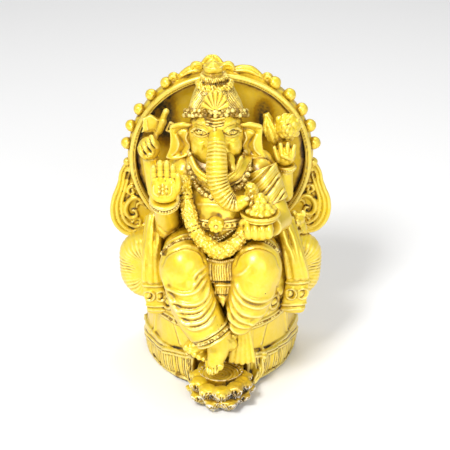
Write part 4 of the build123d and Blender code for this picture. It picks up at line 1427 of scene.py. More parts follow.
def trunk(gold):
    """The trunk: wide at the brow, ringed with fine wrinkles, curling to the bowl of sweets."""
    path = [
        at(-3, -14.5, 112), at(-2.7, -18.5, 106), at(-2.6, -25, 99), at(-2.6, -30, 91), at(-2.2, -33.5, 83),
        at(0.2, -36, 75.5), at(5.0, -38.5, 69.3), at(11.2, -40, 67.4), at(16.3, -41, 70),
    ]
    clay = Clay()
    clay.tube(path, [3.8, 5.8, 6.9, 7.5, 7.5, 7.2, 6.6, 5.6, 4.6], 0.92, (1, 0, 0), sides=28)
    clay.skin(0.42, 3)
    along, length = clay.gap(flowing(path))[1:]
    rings = clamp((along - 7) / 4) * clamp((length - 2.5 - along) / 3)
    sag = 0.12 * (1 - clamp(clay.facing(LOOK, 1.0)))
    wander = 0.16 * np.sin(along * 0.35)
    clay.ripple(
        along / (sizes().trunk_ring / MM) + sag + wander, 0.95,
        rings * clamp(clay.facing(LOOK, 0.8) + 0.15), 1.15,
    )
    clay.face_out()
    clay.dab(at(16.6, -41.5, 71.5), 2.0, -1.0)
    clay.rough(0.07, 6, 81)
    lips = Clay().ball(at(17.6, -43.5, 72.8), (2.4, 1.8, 1.5), smooth=3)
    piece("trunk", clay, gold, lips)


def ear(side, name, gold):
    """A hanging ear: a folded sheet with a curled upper edge, a sunk middle and a drawn-out lower point."""
    base = -3.0

    def p(x, z, y=0.0):
        return at(base + side * x, y, z)

    outline = [
        p(12, 110), p(22, 110.2), p(30.5, 108.6), p(31.5, 104), p(30.0, 97), p(31.2, 90), p(34.5, 84.6),
        p(28, 83.6), p(20.5, 86.0), p(16, 91), p(12, 97),
    ]
    clay = Clay()
    clay.plate([q + Vector((0, 1.5, 0)) for q in outline], (0, -1, 0), 3.6)
    clay.tube([p(14, 109.5, -2.5), p(23, 110, -2.8), p(30.5, 108.2, -2.0)], [1.5, 1.9, 1.5])
    clay.tube(
        [p(30.8, 107, -1.0), p(30.6, 99, -0.6), p(31.3, 91, -0.8), p(34, 85, -0.8)], [1.5, 1.3, 1.3, 1.0],
    )
    clay.tube([p(19, 87.3, -1.5), p(26, 84.5, -2.0), p(34, 84.8, -1)], [1.7, 1.8, 1.1])
    clay.skin(0.45, 3)
    clay.line(
        [p(17, 106), p(23, 106.0), p(27.0, 103), p(24.5, 98), p(22.0, 93), p(24.5, 88.5)], 1.5, -1.6,
        BACKWARDS,
    )
    clay.line([p(20, 103.5), p(21.0, 99), p(18.4, 94), p(19.5, 89.5)], 0.9, 1.3, BACKWARDS)
    clay.line([p(27.8, 101.5), p(26.0, 96.5), p(27.0, 91), p(30.4, 87)], 0.9, 1.1, BACKWARDS)
    clay.line([p(16.5, 101), p(16.8, 96), p(15.5, 91)], 0.8, -1.0, BACKWARDS)
    clay.dab(p(23, 99.5), (2.5, 9, 4.0), -0.9, BACKWARDS)
    clay.rough(0.06, 7, 83)
    piece(name, clay, gold)


# ---------------------------------------------------------------- crown


def make_crown():
    gold = gold_paint("gold_crown", wash=0.95, rub=1.2)
    low, high = corners("crown_band")
    mid = (low + high) / 2
    radius = (high.x - low.x) / 2
    clay = Clay().node("crown_band").skin(0.5, 3)
    row = Clay()
    rng = np.random.default_rng(21)
    for count, level, out, size in (
        (38, low.z + 1.4, 0.2, 1.9), (34, high.z - 1.4, -0.5, 1.7), (44, mid.z, 0.3, 1.0),
    ):
        for i in range(count):
            a = (i + rng.uniform(-0.12, 0.12)) * math.tau / count
            way = Vector((math.sin(a), -math.cos(a), 0))
            grown = size * rng.uniform(0.88, 1.1)
            spot = Vector((mid.x, mid.y, level + rng.uniform(-0.3, 0.3))) + way * (radius + out)
            spot.z -= CROWN_TILT * (spot.y - low.y)
            row.ball(spot, (grown, grown, grown * 0.92), smooth=2)
    clay.co[:, 2] -= CROWN_TILT * (clay.y - low.y)
    clay.face_out()
    piece("crown_band", clay, gold, row)
    dome_low, dome_high = corners("crown_dome")
    clay = Clay().node("crown_dome")
    foot = Vector((mid.x, mid.y, dome_low.z - 1.0))
    rise = dome_high.z - foot.z
    for i in range(7):
        t = i / 6
        spot = foot + Vector((-1.2 * t, 7.2 * t, rise * t))
        clay.ball(spot, (19.8 - 7.6 * t, 19.6 - 7.6 * t, 2.6), smooth=4)
    clay.skin(0.5, 4)
    centre = foot + Vector((-0.6, 3.6, 0))
    turn = round_upright(clay.co, centre)[0]
    outward = clamp(np.hypot(clay.out[:, 0], clay.out[:, 1]) * 1.5)
    uneven = 0.22 * np.sin(turn * 9 + 0.4) + 0.1 * np.sin(clay.z * 0.9 + turn * 3)
    clay.ripple(turn * sizes().crown_ribs / math.tau + uneven, 0.85, outward, 1.2)
    lowness = clamp(1 - (clay.z - foot.z) / rise)
    clay.co[:, 2] -= CROWN_TILT * np.clip(clay.y - low.y, 0, 40) * lowness
    clay.face_out()
    clay.rough(0.12, 5, 91)
    piece("crown_dome", clay, gold)
    tiers(gold)
    shell(gold)


def tiers(gold):
    """Two ruffled leaf rings and the bud-shaped knob above them."""
    low, high = corners("crown_tiers")
    mid = (low + high) / 2
    clay = Clay().node("crown_tiers")
    rng = np.random.default_rng(3)
    for level, radius, count, size, back in (
        (low.z + 0.6, 11.4, 15, 2.3, 0.0), (low.z + 2.6, 10.6, 13, 1.9, 0.6),
        (low.z + 5.2, 7.9, 11, 1.9, 2.0),
    ):
        for i in range(count):
            a = (i + rng.uniform(-0.25, 0.25)) * math.tau / count
            way = Vector((math.sin(a), -math.cos(a), 0))
            spot = Vector((mid.x, mid.y + back - 1.0, level + rng.uniform(-0.8, 0.8))) + way * radius
            clay.ball(
                spot, (size * 1.25, size, size * 0.8),
                turn=(rng.uniform(-30, 30), rng.uniform(-25, 25), math.degrees(a)), smooth=2,
            )
            clay.ball(spot + way * 0.9 + Vector((0, 0, 1.0)), (size * 0.6, size * 0.6, size * 0.45), smooth=2)
    clay.skin(0.45, 1)
    turn = round_upright(clay.co, mid)[0]
    clay.ripple(turn * 34 / math.tau + clay.z * 0.25, 0.5, np.ones(len(turn)), 1.2)
    clay.rough(0.25, 4, 94)
    piece("crown_tiers", clay, gold)
    low, high = corners("crown_knob")
    mid = (low + high) / 2
    clay = Clay()
    centre = Vector((mid.x, mid.y, 0))
    profile = [
        (0, low.z), (6.4, low.z), (7.4, low.z + 0.9), (6.6, low.z + 2.0), (5.6, low.z + 2.5),
        (6.6, low.z + 3.4),
        (7.3, low.z + 5.4), (6.8, low.z + 7.4), (5.2, high.z - 3.0), (2.8, high.z - 1.0), (0, high.z),
    ]
    clay.lathe(profile, Matrix.Translation(centre))
    clay.skin(0.45, 2)
    turn = round_upright(clay.co, mid)[0]
    z = clay.z
    bud = clamp((z - low.z - 3) / 1.5) * clamp((high.z - z) / 3)
    clay.ripple(turn * 7 / math.tau, 0.4, bud, 1.2)
    clay.rough(0.22, 5, 93)
    # Strong rubbed paint with painted highlights on the crests, and chips.
    rubbed_and_highlight = gold_paint("gold_worn_and_highlit", wash=0.9, rub=1.8, chips=0.9)
    piece("crown_knob", clay, rubbed_and_highlight)


def shell(gold):
    """Fan-shaped ornament on the front of the crown, fluted like a shell, with a small pendant below."""
    low, high = corners("crown_shell")
    band_front = corners("crown_band")[0].y
    foot = Vector(((low.x + high.x) / 2, band_front - 1.2, corners("crown_band")[1].z - 0.6))
    clay = Clay()
    count = 7
    tips = []
    for i in range(count):
        a = math.radians(-74 + 148 / (count - 1) * i)
        tip = foot + Vector((math.sin(a) * 8.0, 0.6 + 3.0 * math.cos(a), math.cos(a) * 10.4 + 0.8))
        tips.append(tip)
        clay.tube(
            [foot + Vector((math.sin(a) * 1.5, -0.6, math.cos(a) * 1.5 + 0.4)), tip], [0.9, 2.2],
            smooth=False, sides=14,
        )
    clay.ball(foot + Vector((0, 3.4, 5.4)), (7.5, 3.0, 6.8), turn=(-14, 0, 0), smooth=3)
    clay.skin(0.38, 1)
    for one, two in zip(tips, tips[1:]):
        edge = (one + two) / 2
        edge = foot + (edge - foot) * 1.16
        clay.line([foot + (edge - foot) * 0.16, edge], 0.42, -0.45, BACKWARDS, smooth=False)
    drop = Clay()
    drop.ball(foot + Vector((0, -1.2, -0.6)), (2.2, 1.6, 1.7), smooth=3)
    drop.ball(foot + Vector((0, -1.9, -3.0)), (1.4, 1.2, 1.8), smooth=3)
    for side in (-1, 1):
        drop.ball(foot + Vector((side * 2.6, -0.9, -1.4)), (1.3, 1.1, 1.2), smooth=3)
    piece("crown_shell", clay, gold, drop)


# ---------------------------------------------------------------- arms


def cuff_rows(centre, axis, radius, count, size):
    """A row of beads round a wrist."""
    row = Clay()
    u = axis.cross(Vector((1, 0.1, 0))).normalized()
    v = axis.cross(u).normalized()
    for i in range(count):
        a = i * math.tau / count
        row.ball(centre + (u * math.cos(a) + v * math.sin(a)) * radius, size, smooth=1)
    return row


def make_blessing_arm():
    gold = gold_paint("gold_figure")
    clay = Clay().node("blessing_arm").skin(0.7, 5)
    clay.line([at(-45, -17, 40), at(-37, -27, 38), at(-28, -22, 41)], 0.8, -0.7, LOOK, fade=0.2)
    clay.rough(0.1, 12, 100)
    piece("blessing_arm", clay, gold)
    clay = Clay().node("blessing_cuff")
    axis = Vector((-1.5, -14, 26)).normalized()
    centre = at(-38.15, -30.2, 65.5)
    clay.tube(
        [centre - axis * 2.6, centre + axis * 2.4], [10.4, 10.0], smooth=False, round_ends=False, sides=40,
    )
    clay.skin(0.5, 2)
    level = (clay.co - np.array(centre)) @ np.array(axis)
    clay.bands(level, ((-2.2, 0.6), (2.0, 0.6), (0, -0.5)), 0.6)
    piece("blessing_cuff", clay, gold, cuff_rows(centre, axis, 10.3, 32, 0.95))
    blessing_hand(gold)


def blessing_hand(gold):
    """Open hand, palm forward: four short close fingers, a thumb, and a small flower on the palm."""
    def h(x, z, y=0.0):
        return at(-38.3 + x, -34.5 + y, 68 + z)

    clay = Clay()
    clay.ball(h(0.2, 9.5), (10.2, 4.6, 10.5))
    clay.ball(h(5.8, 8, -1.6), (4.6, 4.2, 8.0))
    clay.ball(h(-5.5, 8.0, -1.2), (4.6, 3.9, 8.5))
    clay.ball(h(0, 2.5), (9.2, 5.0, 5.0))
    clay.ball(h(-0.4, 18.5, 0.6), (8.6, 2.8, 6.5))
    for x, top, r in ((-7.2, 27.6, 2.45), (-2.5, 31.0, 2.7), (2.3, 31.0, 2.7), (6.7, 28.2, 2.5)):
        clay.tube(
            [h(x * 0.95, 15, -0.2), h(x, top - 6, -1.6), h(x * 0.98, top - r, -3.0)],
            [r + 0.15, r, r * 0.92],
        )
    clay.tube([h(8.4, 6, -1.0), h(10.2, 13, -2.2), h(10.0, 19.4, -3.0)], [3.0, 2.6, 2.1])
    clay.skin(0.42, 3)
    for x in (-4.9, -0.1, 4.5):
        clay.line([h(x, 17.5), h(x, 29)], 0.4, -0.35, BACKWARDS, smooth=False)
    clay.line([h(-8.5, 16.8), h(-3, 17.8), h(3, 17.6), h(7.4, 16.6)], 0.7, -0.5, BACKWARDS)
    for x, z in ((-7.3, 21.6), (-2.6, 23.2), (2.2, 23.2), (6.7, 21.8)):
        clay.line([h(x - 2, z), h(x + 2, z)], 0.5, -0.3, BACKWARDS, smooth=False)
    clay.dab(h(-0.6, 9.4), (6.6, 9, 5.6), -1.3, BACKWARDS)
    clay.face_out()
    for i in range(6):
        a = i * math.tau / 6 + math.pi / 2
        leaf = [h(-0.8 + math.cos(a) * t, 9.4 + math.sin(a) * t) for t in (1.6, 3.0, 4.6)]
        clay.line(leaf, 1.0, 1.5, BACKWARDS, fade=0.4)
    clay.dab(h(-0.8, 9.4), 1.0, 1.6, BACKWARDS)
    for s in (-1, 1):
        clay.line(
            [h(-0.8 + s * 3.6, 4.6), h(-0.8 + s * 6.2, 7.2), h(-0.8 + s * 6.4, 11.2)], 0.7, 0.9, BACKWARDS,
        )
    clay.rough(0.06, 6, 101)
    clay.squeeze(-38.3, 0.94)
    piece("blessing_hand", clay, gold)


def make_bowl_arm():
    gold = gold_paint("gold_figure")
    clay = Clay().node("bowl_arm").skin(0.7, 5)
    piece("bowl_arm", clay, gold)
    clay = Clay()
    clay.ball(at(26, -44, 50.0), (10.5, 6.0, 7.0))
    clay.tube([at(30, -36, 47), at(27, -42, 48)], [6.5, 7.5])
    for x, drop in ((-7.4, 0.6), (-2.6, 0.0), (2.3, 0.0), (7.0, 0.8)):
        clay.tube(
            [
                at(26 + x, -48.5, 57.0), at(26.0 + x, -52.2, 53.0), at(26.0 + x * 0.96, -51.6, 48.6 + drop),
                at(26 + x * 0.9, -47, 45.8 + drop),
            ],
            [2.4, 2.75, 2.75, 2.3],
        )
    clay.tube([at(15.5, -43, 51), at(14.8, -46, 56), at(17, -48, 59)], [2.4, 2.2, 1.9])
    clay.skin(0.45, 2)
    piece("bowl_hand", clay, gold)
    low, high = corners("sweet_bowl")
    mid = (low + high) / 2
    bowl = Clay().node("sweet_bowl")
    ring = [
        Vector(
            (mid.x + 12.6 * math.cos(a), mid.y + 12.6 * math.sin(a), high.z - 0.9)
        ) for a in np.linspace(0, math.tau, 41)
    ]
    bowl.tube(ring, [1.2, 1.2], smooth=False, round_ends=False, sides=12)
    ring = [p + Vector((0, 0, -2.8)) + (mid - p) * Vector((0.09, 0.09, 0)) for p in ring]
    bowl.tube(ring, [0.9, 0.9], smooth=False, round_ends=False, sides=12)
    bowl.skin(0.45, 2)
    piece("sweet_bowl", bowl, gold)
    sweets(gold)


def sweets(gold):
    """A mound of round sweets, each a little flattened."""
    base = Vector((middle("sweet_bowl").x, middle("sweet_bowl").y, corners("sweet_bowl")[1].z))
    clay = Clay().ball(base + Vector((0, 0, 0.5)), (10.5, 10.5, 5.5))
    rng = np.random.default_rng(5)
    for count, radius, height in ((11, 8.8, 1.8), (8, 6.2, 5.6), (5, 3.2, 9.0), (1, 0.0, 11.2)):
        for i in range(count):
            a = (i + rng.uniform(-0.2, 0.2)) * math.tau / count + height
            spot = base + Vector(
                (math.cos(a) * radius, math.sin(a) * radius, height + rng.uniform(-0.5, 0.5))
            )
            clay.ball(spot, (2.7, 2.7, 2.4), turn=(rng.uniform(0, 90), 0, 0), smooth=2)
    clay.skin(0.45, 1)
    clay.rough(0.12, 3, 110)
    piece("sweets", clay, gold)


def make_axe_arm():
    gold = gold_paint("gold_figure")
    clay = Clay().node("axe_arm").skin(0.65, 4)
    clay.rough(0.08, 10, 120)
    piece("axe_arm", clay, gold)
    clay = Clay().node("axe_hand")
    for x, z in ((-55.5, 84.2), (-52.8, 87.6), (-50.0, 90.4), (-47.2, 92.4)):
        clay.tube(
            [at(x - 1.5, 12, z + 1.8), at(x, 8.6, z - 0.6), at(x + 2.4, 9.4, z - 4.6)], [1.9, 2.15, 1.8],
        )
    clay.tube([at(-47, 12, 85), at(-49, 8.4, 82.5), at(-53, 8.8, 81)], [2.1, 2.1, 1.8])
    clay.skin(0.42, 2)
    for x, z in ((-54.2, 86.2), (-51.4, 89.3), (-48.6, 91.7)):
        clay.line(
            [at(x - 1.2, 8, z + 1.8), at(x + 0.4, 6.4, z - 1.2), at(x + 2.6, 7, z - 4.6)], 0.45, -0.8,
            BACKWARDS,
        )
    piece("axe_hand", clay, gold)
    axe(gold)


def axe(gold):
    """A short axe: flared blade, socket, and a handle with a small square loop."""
    clay = Clay().node("axe")
    y = middle("axe").y

    def a(x, z, dy=0.0):
        return Vector((x, y - 1.5 + dy, SEAT_TOP + z))

    clay.tube([a(-47, 88), a(-38.5, 108.5)], [1.9, 1.9], smooth=False)
    clay.ball(a(-38.3, 109.2), 2.4)
    clay.plate(
        [a(-41, 98.5), a(-45, 103.5), a(-50.5, 106), a(-55, 100), a(-53.8, 93.6), a(-47, 93.6)], (0, 1, 0),
        3.0,
    )
    clay.tube([a(-43.8, 94.4), a(-40.6, 102)], [2.9, 2.9], smooth=False)
    for one, two in (
        ((-38.5, 95), (-35.5, 101)), ((-35.5, 101), (-32.8, 99.6)), ((-32.8, 99.6), (-35.6, 93.8)),
        ((-35.6, 93.8), (-38.5, 95)),
    ):
        clay.tube([a(*one), a(*two)], [0.85, 0.85], smooth=False)
    clay.skin(0.45, 1)
    clay.line([a(-44, 102), a(-46.3, 95)], 0.5, -0.6, BACKWARDS, smooth=False)
    clay.line([a(-52.5, 103), a(-51.5, 95.4)], 0.5, 0.5, BACKWARDS, smooth=False)
    piece("axe", clay, gold)


def make_flower_arm():
    gold = gold_paint("gold_figure")
    clay = Clay().node("flower_arm").skin(0.65, 4)
    clay.rough(0.08, 10, 130)
    piece("flower_arm", clay, gold)
    clay = Clay().node("flower_cuff").skin(0.45, 2)
    piece("flower_cuff", clay, gold, cuff_rows(middle("flower_cuff"), Vector((0, 0, 1)), 7.6, 26, 0.95))
    clay = Clay().node("flower_hand")
    spot = middle("flower_hand")
    for dx, dz, lean in ((-6.0, 4, -1.5), (-2.6, 6.5, -0.6), (1.2, 6.8, 0.6), (4.8, 5.2, 1.6)):
        clay.tube(
            [
                spot + Vector((dx * 0.8, -4.5, -4)), spot + Vector((dx, -6.6, dz - 4)),
                spot + Vector((dx + lean, -4.4, dz + 2)),
            ],
            [1.9, 2.0, 1.7],
        )
    clay.tube(
        [spot + Vector((5, -4, -3)), spot + Vector((2, -8, 0)), spot + Vector((-2, -8, 1.5))],
        [2.0, 1.9, 1.6],
    )
    clay.skin(0.45, 2)
    piece("flower_hand", clay, gold)
    blossom(gold)


def blossom(gold):
    """An open many-petalled flower beside a tall bud."""
    clay = Clay().node("flower")
    heart = at(47, 17.5, 99)
    rng = np.random.default_rng(9)
    for count, radius, out, size in (
        (11, 8.0, 1.0, 2.9), (9, 5.6, -2.4, 2.6), (6, 3.2, -5.0, 2.2), (1, 0, -6.6, 2.3),
    ):
        for i in range(count):
            a = (i + rng.uniform(-0.2, 0.2)) * math.tau / count
            spot = heart + Vector((math.cos(a) * radius, out, math.sin(a) * radius))
            clay.ball(
                spot, (size, size * 0.55, size * 1.05),
                turn=(35 * math.sin(a), math.degrees(-a), 35 * math.cos(a)), smooth=2,
            )
    for side in (-1, 1):
        clay.tube(
            [at(36 + side * 1.2, 17, 90), at(34.5 + side * 3.0, 17, 98), at(32.2 + side * 0.5, 18.5, 108)],
            [1.6, 1.9, 0.9],
        )
    clay.tube([at(38.5, 16.5, 87), at(35.0, 16.5, 97), at(32.2, 18.5, 106)], [2.2, 2.9, 1.1])
    clay.skin(0.42, 1)
    clay.rough(0.15, 3, 131)
    piece("flower", clay, gold)


def make_shoulder_sash():
    gold = gold_paint("gold_figure")
    clay = Clay().node("shoulder_sash").skin(0.6, 3)
    axis = np.array(Vector((9.5, -9.5, -22)).normalized())
    level = (clay.co - np.array(at(27, -2, 76))) @ axis
    slant = level + 0.62 * (clay.x - 33) + 0.012 * (clay.x - 33) ** 2
    depth = 0.7 + 0.3 * np.sin(slant * 0.5)
    clay.ripple(slant / 7.0 + 0.16 * np.sin(slant * 0.4), 1.7, clay.facing(LOOK, 0.6) * depth, 0.7)
    clay.face_out()
    clay.ripple(slant / 2.33, 0.25, clay.facing(LOOK, 0.6), 0.8)
    clay.rough(0.12, 8, 140)
    piece("shoulder_sash", clay, gold)


# ---------------------------------------------------------------- mouse and lotus


def make_mouse():
    gold = gold_paint("gold_figure")

    def m(x, y, z):
        return at(54 + x, y, 34 + z)

    clay = Clay().node("mouse")
    clay.ball(m(0, -2, 0.2), (3.4, 5.2, 3.4), turn=(-15, 0, 8), smooth=3)
    clay.ball(m(-0.5, -6.6, -1), (1.5, 2.0, 1.5))
    for dx in (-3.2, 3.4):
        clay.ball(m(1.5 + dx, 2, 5.0), (2.3, 1.3, 2.9), smooth=3)
    for dx in (-2.6, 2.4):
        clay.tube([m(2.5 + dx, 0, -5), m(1.5 + dx * 0.6, -5, -6)], [1.5, 1.3], smooth=False)
        clay.tube([m(2.5 + dx * 1.6, -1, -13.5), m(2.0 + dx * 1.5, -6, -15.5)], [2.3, 1.9], smooth=False)
    clay.ball(m(1.2, -6.2, -5.6), 2.1)
    clay.tube([m(5, 6, -15), m(9, 5, -14), m(9, 2, -10), m(7, 1, -7)], [1.3, 1.1, 1.0, 0.8])
    clay.skin(0.45, 2)
    for dx in (-1.6, 1.7):
        clay.dab(m(0.4 + dx, -5, 1.6), 0.6, -0.6)
    clay.rough(0.1, 3, 150)
    piece("mouse", clay, gold)


def lotus_petal(clay, angle, radius, level, width, length, height):
    """One cupped lotus petal: a pointed upper face that leans out, over a belly that tapers downwards."""
    way = Vector((math.sin(angle), -math.cos(angle), 0))
    centre = Vector((LOTUS.x, LOTUS.y, level))
    heading = math.degrees(angle)
    clay.ball(
        centre + way * (radius - 1.2), (width, length * 0.86, height * 0.32), turn=(-14, 0, heading),
        smooth=4,
    )
    clay.ball(
        centre + way * (radius + length * 0.34) + Vector((0, 0, -0.6)),
        (width * 0.50, length * 0.66, height * 0.26),
        turn=(-20, 0, heading), smooth=4,
    )
    clay.ball(
        centre + way * (radius - 1.6) + Vector((0, 0, -height * 0.34)),
        (width * 0.80, length * 0.8, height * 0.42),
        turn=(-8, 0, heading), smooth=4,
    )
    clay.ball(
        centre + way * (radius - 3.2) + Vector((0, 0, -height * 0.62)),
        (width * 0.58, length * 0.6, height * 0.40),
        turn=(0, 0, heading), smooth=3,
    )


def make_lotus():
    # Strong rubbed paint with painted highlights on the crests, and chips.
    gold = gold_paint("gold_worn_and_highlit", wash=0.9, rub=1.8, chips=0.9)
    clay = Clay().node("lotus_core").skin(0.5, 3)
    away = round_upright(clay.co, LOTUS)[1]
    up = clamp(clay.out[:, 2])
    clay.push(-1.0 * bell(away - 13.6, 0.7) * up)
    clay.push(-1.2 * clamp(1 - away / 13) ** 0.5 * up)
    clay.ripple(away / 2.6, 0.4, up * (away < 13), 1.0)
    turn = round_upright(clay.co, LOTUS)[0]
    clay.push(0.5 * np.cos(turn * 30) * bell(away - 15.2, 0.9) * up)
    clay.rough(0.2, 5, 160)
    piece("lotus_core", clay, gold)
    rows = (
        ("lotus_petals_upper", (-98, -63, -33, 2, 36, 66, 98), 18.8, 16.0, 7.0, 7.4, 13.0),
        ("lotus_petals_lower", (-84, -52, -17, 18, 52, 84), 19.6, 8.4, 7.6, 8.2, 8.6),
    )
    for name, angles, radius, level, width, length, height in rows:
        clay = Clay()
        for i, degrees in enumerate(angles):
            reach = radius - 3.0 * (abs(degrees) / 100) ** 2
            size = 1 + 0.10 * math.sin(i * 2.4 + 1)
            lotus_petal(
                clay, math.radians(degrees), reach, level + 0.8 * math.sin(i * 1.9), width * size, length,
                height,
            )
        foot = max(level - height * 0.9 + 0.8, 1.3)
        clay.lathe([(0, foot), (13, foot), (15.5, level - 1), (0, level - 1)], Matrix.Translation(LOTUS))
        clay.skin(0.5, 2)
        clay.co[:, 2] = np.maximum(clay.z, 0.25)
        turn, away = round_upright(clay.co, LOTUS)
        off = np.degrees(turn)[:, None] - np.array(angles)[None, :]
        signed = off[np.arange(len(off)), np.argmin(np.abs(off), axis=1)]
        offset = np.abs(signed)
        beneath = clamp(0.75 - clay.out[:, 2] * 1.6) * clamp((away - radius + 6) / 4)
        sink = np.clip((clay.z - level) / 4 + 1.6, 0.4, 1.4)
        clay.ripple(signed / (3.9 * sink), 1.3, beneath * (offset < 16.5), 0.9)
        clay.face_out()
        on_top = np.clip(clay.out[:, 2] - 0.5, 0, 0.5) * 2
        clay.push(-0.7 * on_top * bell(away - radius, 3.2) * bell(offset, 9))
        clay.rough(0.25, 6, 161)
        piece(name, clay, gold)


# ---------------------------------------------------------------- ageing of the surface, with painted shade, shadows and highlights

FINE_STEP, BROAD_STEP = 3, 13  # rounds of smoothing after which the fine and the broad relief are read
FINE_LIFT, BROAD_LIFT = 0.16 * MM, 0.42 * MM  # usual relief at each
CAST_POINTS = 1600  # about how many points of a piece look for what shades them
CAST_REACH = 15 * MM  # how far off a surface still shades a point


def shown_pieces():
    return [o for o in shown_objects() if o.type == "MESH" and "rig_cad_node" not in o]


def neighbours_mean(values, edges, counts):
    """Mean of each point's neighbours."""
    one, two = edges[:, 0], edges[:, 1]
    if values.ndim == 1:
        total = np.bincount(one, values[two], len(values)) + np.bincount(two, values[one], len(values))
        return total / counts
    return np.stack([neighbours_mean(values[:, k], edges, counts) for k in range(values.shape[1])], axis=1)


def relief(co, out, edges, counts):
    """How far each point lies in a hollow and how far on a crest, at a fine or at a broad scale."""
    soft = co.copy()
    deep = np.zeros(len(co))
    high = np.zeros(len(co))
    for step in range(BROAD_STEP + 1):
        soft = 0.5 * soft + 0.5 * neighbours_mean(soft, edges, counts)
        if step in (FINE_STEP, BROAD_STEP):
            usual = FINE_LIFT if step == FINE_STEP else BROAD_LIFT
            lift = ((soft - co) * out).sum(1)
            deep = np.maximum(deep, lift / usual)
            high = np.maximum(high, -lift / usual)
    return deep, high


def shading(co, out, edges, counts, tree, rays):
    """How far the view from each point is blocked close by, cast from some points and spread to all."""
    dark = np.zeros(len(co))
    known = np.zeros(len(co))
    for index in range(0, len(co), max(1, len(co) // CAST_POINTS)):
        start = Vector(co[index] + out[index] * 0.0005)
        blocked = total = 0.0
        for ray in rays:
            facing = float(ray @ out[index])
            way = ray if facing > 0 else -ray
            distance = tree.ray_cast(start, Vector(way), CAST_REACH)[3]
            total += abs(facing)
            if distance is not None:
                blocked += abs(facing) * (1 - distance / CAST_REACH)
        dark[index] = blocked / total
        known[index] = 1.0
    for _ in range(9):
        dark = dark + neighbours_mean(dark, edges, counts)
        known = known + neighbours_mean(known, edges, counts)
        scale = 1.0 / known.max()
        dark, known = dark * scale, known * scale
    return dark / np.maximum(known, 1e-9)


def age_and_shade_surface():
    """Works out where dark wash gathers, where paint rubs off and highlights are painted, and where shade and
    shadows are painted, and stores it on every piece.
    """
    pieces = shown_pieces()
    bpy.context.view_layer.update()
    everything = bmesh.new()
    for made in pieces:
        everything.from_mesh(made.data)
    tree = BVHTree.FromBMesh(everything)
    everything.free()
    rng = np.random.default_rng(1)
    rays = np.array([random_way(rng) for _ in range(14)])
    for made in pieces:
        co = rows_of(made.data.vertices, "co")
        out = rows_of(made.data.vertex_normals, "vector")
        edges = np.empty(len(made.data.edges) * 2, np.int32)
        made.data.edges.foreach_get("vertices", edges)
        counts = np.maximum(np.bincount(edges, minlength=len(co)), 1).astype(float)
        edges = edges.reshape(-1, 2)
        deep, high = relief(co, out, edges, counts)
        dark = shading(co, out, edges, counts, tree, rays)
        store(made.data, "hollow", clamp((deep - 0.35) * 0.75))
        store(made.data, "crest", clamp((high - 0.2) * 1.2))
        store(made.data, "shade", clamp((dark - 0.10) * 1.6))
        store(made.data, "painted_shadow", painted_shadows(made.name, co / MM))


def painted_shadows(name, co):
    """Painted shadows on the halo's front, behind the upper hands and inside its rim, and painted shade on
    the lotus, darker towards +x.
    """
    total = np.zeros(len(co))
    plain = name.split(".")[0]
    if plain == "halo_plate":
        for x, z, rx, rz in (
            (-38, 101, 7, 15), (-49, 88, 7, 12), (-49, 112, 8, 7), (31, 101, 7, 11), (33, 88, 5, 9),
            (-36, 84, 7, 7),
        ):
            total += 1.1 * np.exp(-(((co[:, 0] - x) / rx) ** 2) - (((co[:, 2] - SEAT_TOP - z) / rz) ** 2))
        away = np.hypot(co[:, 0] - HALO.x, co[:, 2] - HALO.z)
        # Painted shadow along the inside of the rim.
        total += 1.5 * clamp(1 - (RIM_INNER - away) / 3.4)
        total *= clamp((middle("halo_plate").y + 1.5 - co[:, 1]) / 2)
    if plain in ("lotus_core", "lotus_petals_upper", "lotus_petals_lower"):
        # Painted shade: the lotus darker towards its +x side.
        total += 0.35 * clamp((co[:, 0] - LOTUS.x + 4) / 18)
    return clamp(total)


def store(mesh, name, values):
    attribute = mesh.attributes.get(name) or mesh.attributes.new(name, "FLOAT", "POINT")
    attribute.data.foreach_set("value", values.astype(np.float32))


# ---------------------------------------------------------------- stage


def make_stage():
    scene = bpy.context.scene
    bm = bmesh.new()
    bmesh.ops.create_grid(bm, x_segments=1, y_segments=1, size=3.0)
    mesh = bpy.data.meshes.new("floor")
    bm.to_mesh(mesh)
    bm.free()
    mesh.materials.append(floor_paint())
    floor = bpy.data.objects.new("floor", mesh)
    scene.collection.objects.link(floor)
    floor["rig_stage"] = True
    target = at(0, -9, 32) * MM
    camera = bpy.data.cameras.new("camera")
    camera.lens = 112.8
    camera.sensor_width = 36
    camera.shift_x = 0.010
    camera.shift_y = 0.010
    eye = bpy.data.objects.new("camera", camera)
    scene.collection.objects.link(eye)
    eye.location = target - LOOK.normalized() * 1.0
    eye.rotation_mode = "QUATERNION"
    eye.rotation_quaternion = LOOK.to_track_quat("-Z", "Y")
    scene.camera = eye
    for name, place, size, power in (
        ("key", (-0.52, -0.86, 1.28), 0.40, 20.5),
        ("fill", (0.5, -1.25, 0.62), 0.8, 7.5),
        ("top", (0.15, 0.5, 1.5), 0.7, 8.0),
    ):
        lamp = bpy.data.lights.new(name, "AREA")
        lamp.size = size
        lamp.energy = power
        light = bpy.data.objects.new(name, lamp)
        scene.collection.objects.link(light)
        light.location = place
        light.rotation_mode = "QUATERNION"
        light.rotation_quaternion = (target - Vector(place)).to_track_quat("-Z", "Y")
    world = bpy.data.worlds.new("studio")
    scene.world = world
    world.use_nodes = True
    back = world.node_tree.nodes["Background"]
    back.inputs["Color"].default_value = (1, 1, 1, 1)
    back.inputs["Strength"].default_value = 0.36
    scene.view_settings.view_transform = "Standard"


# ---------------------------------------------------------------- operators and panel


class IDOL_OT_throne(bpy.types.Operator):
    """Sculpts the seat, its draped cloth and the felt pad"""

    bl_idname = "idol.throne"
    bl_label = "Throne"

    def execute(self, context):
        make_throne()
        return {"FINISHED"}


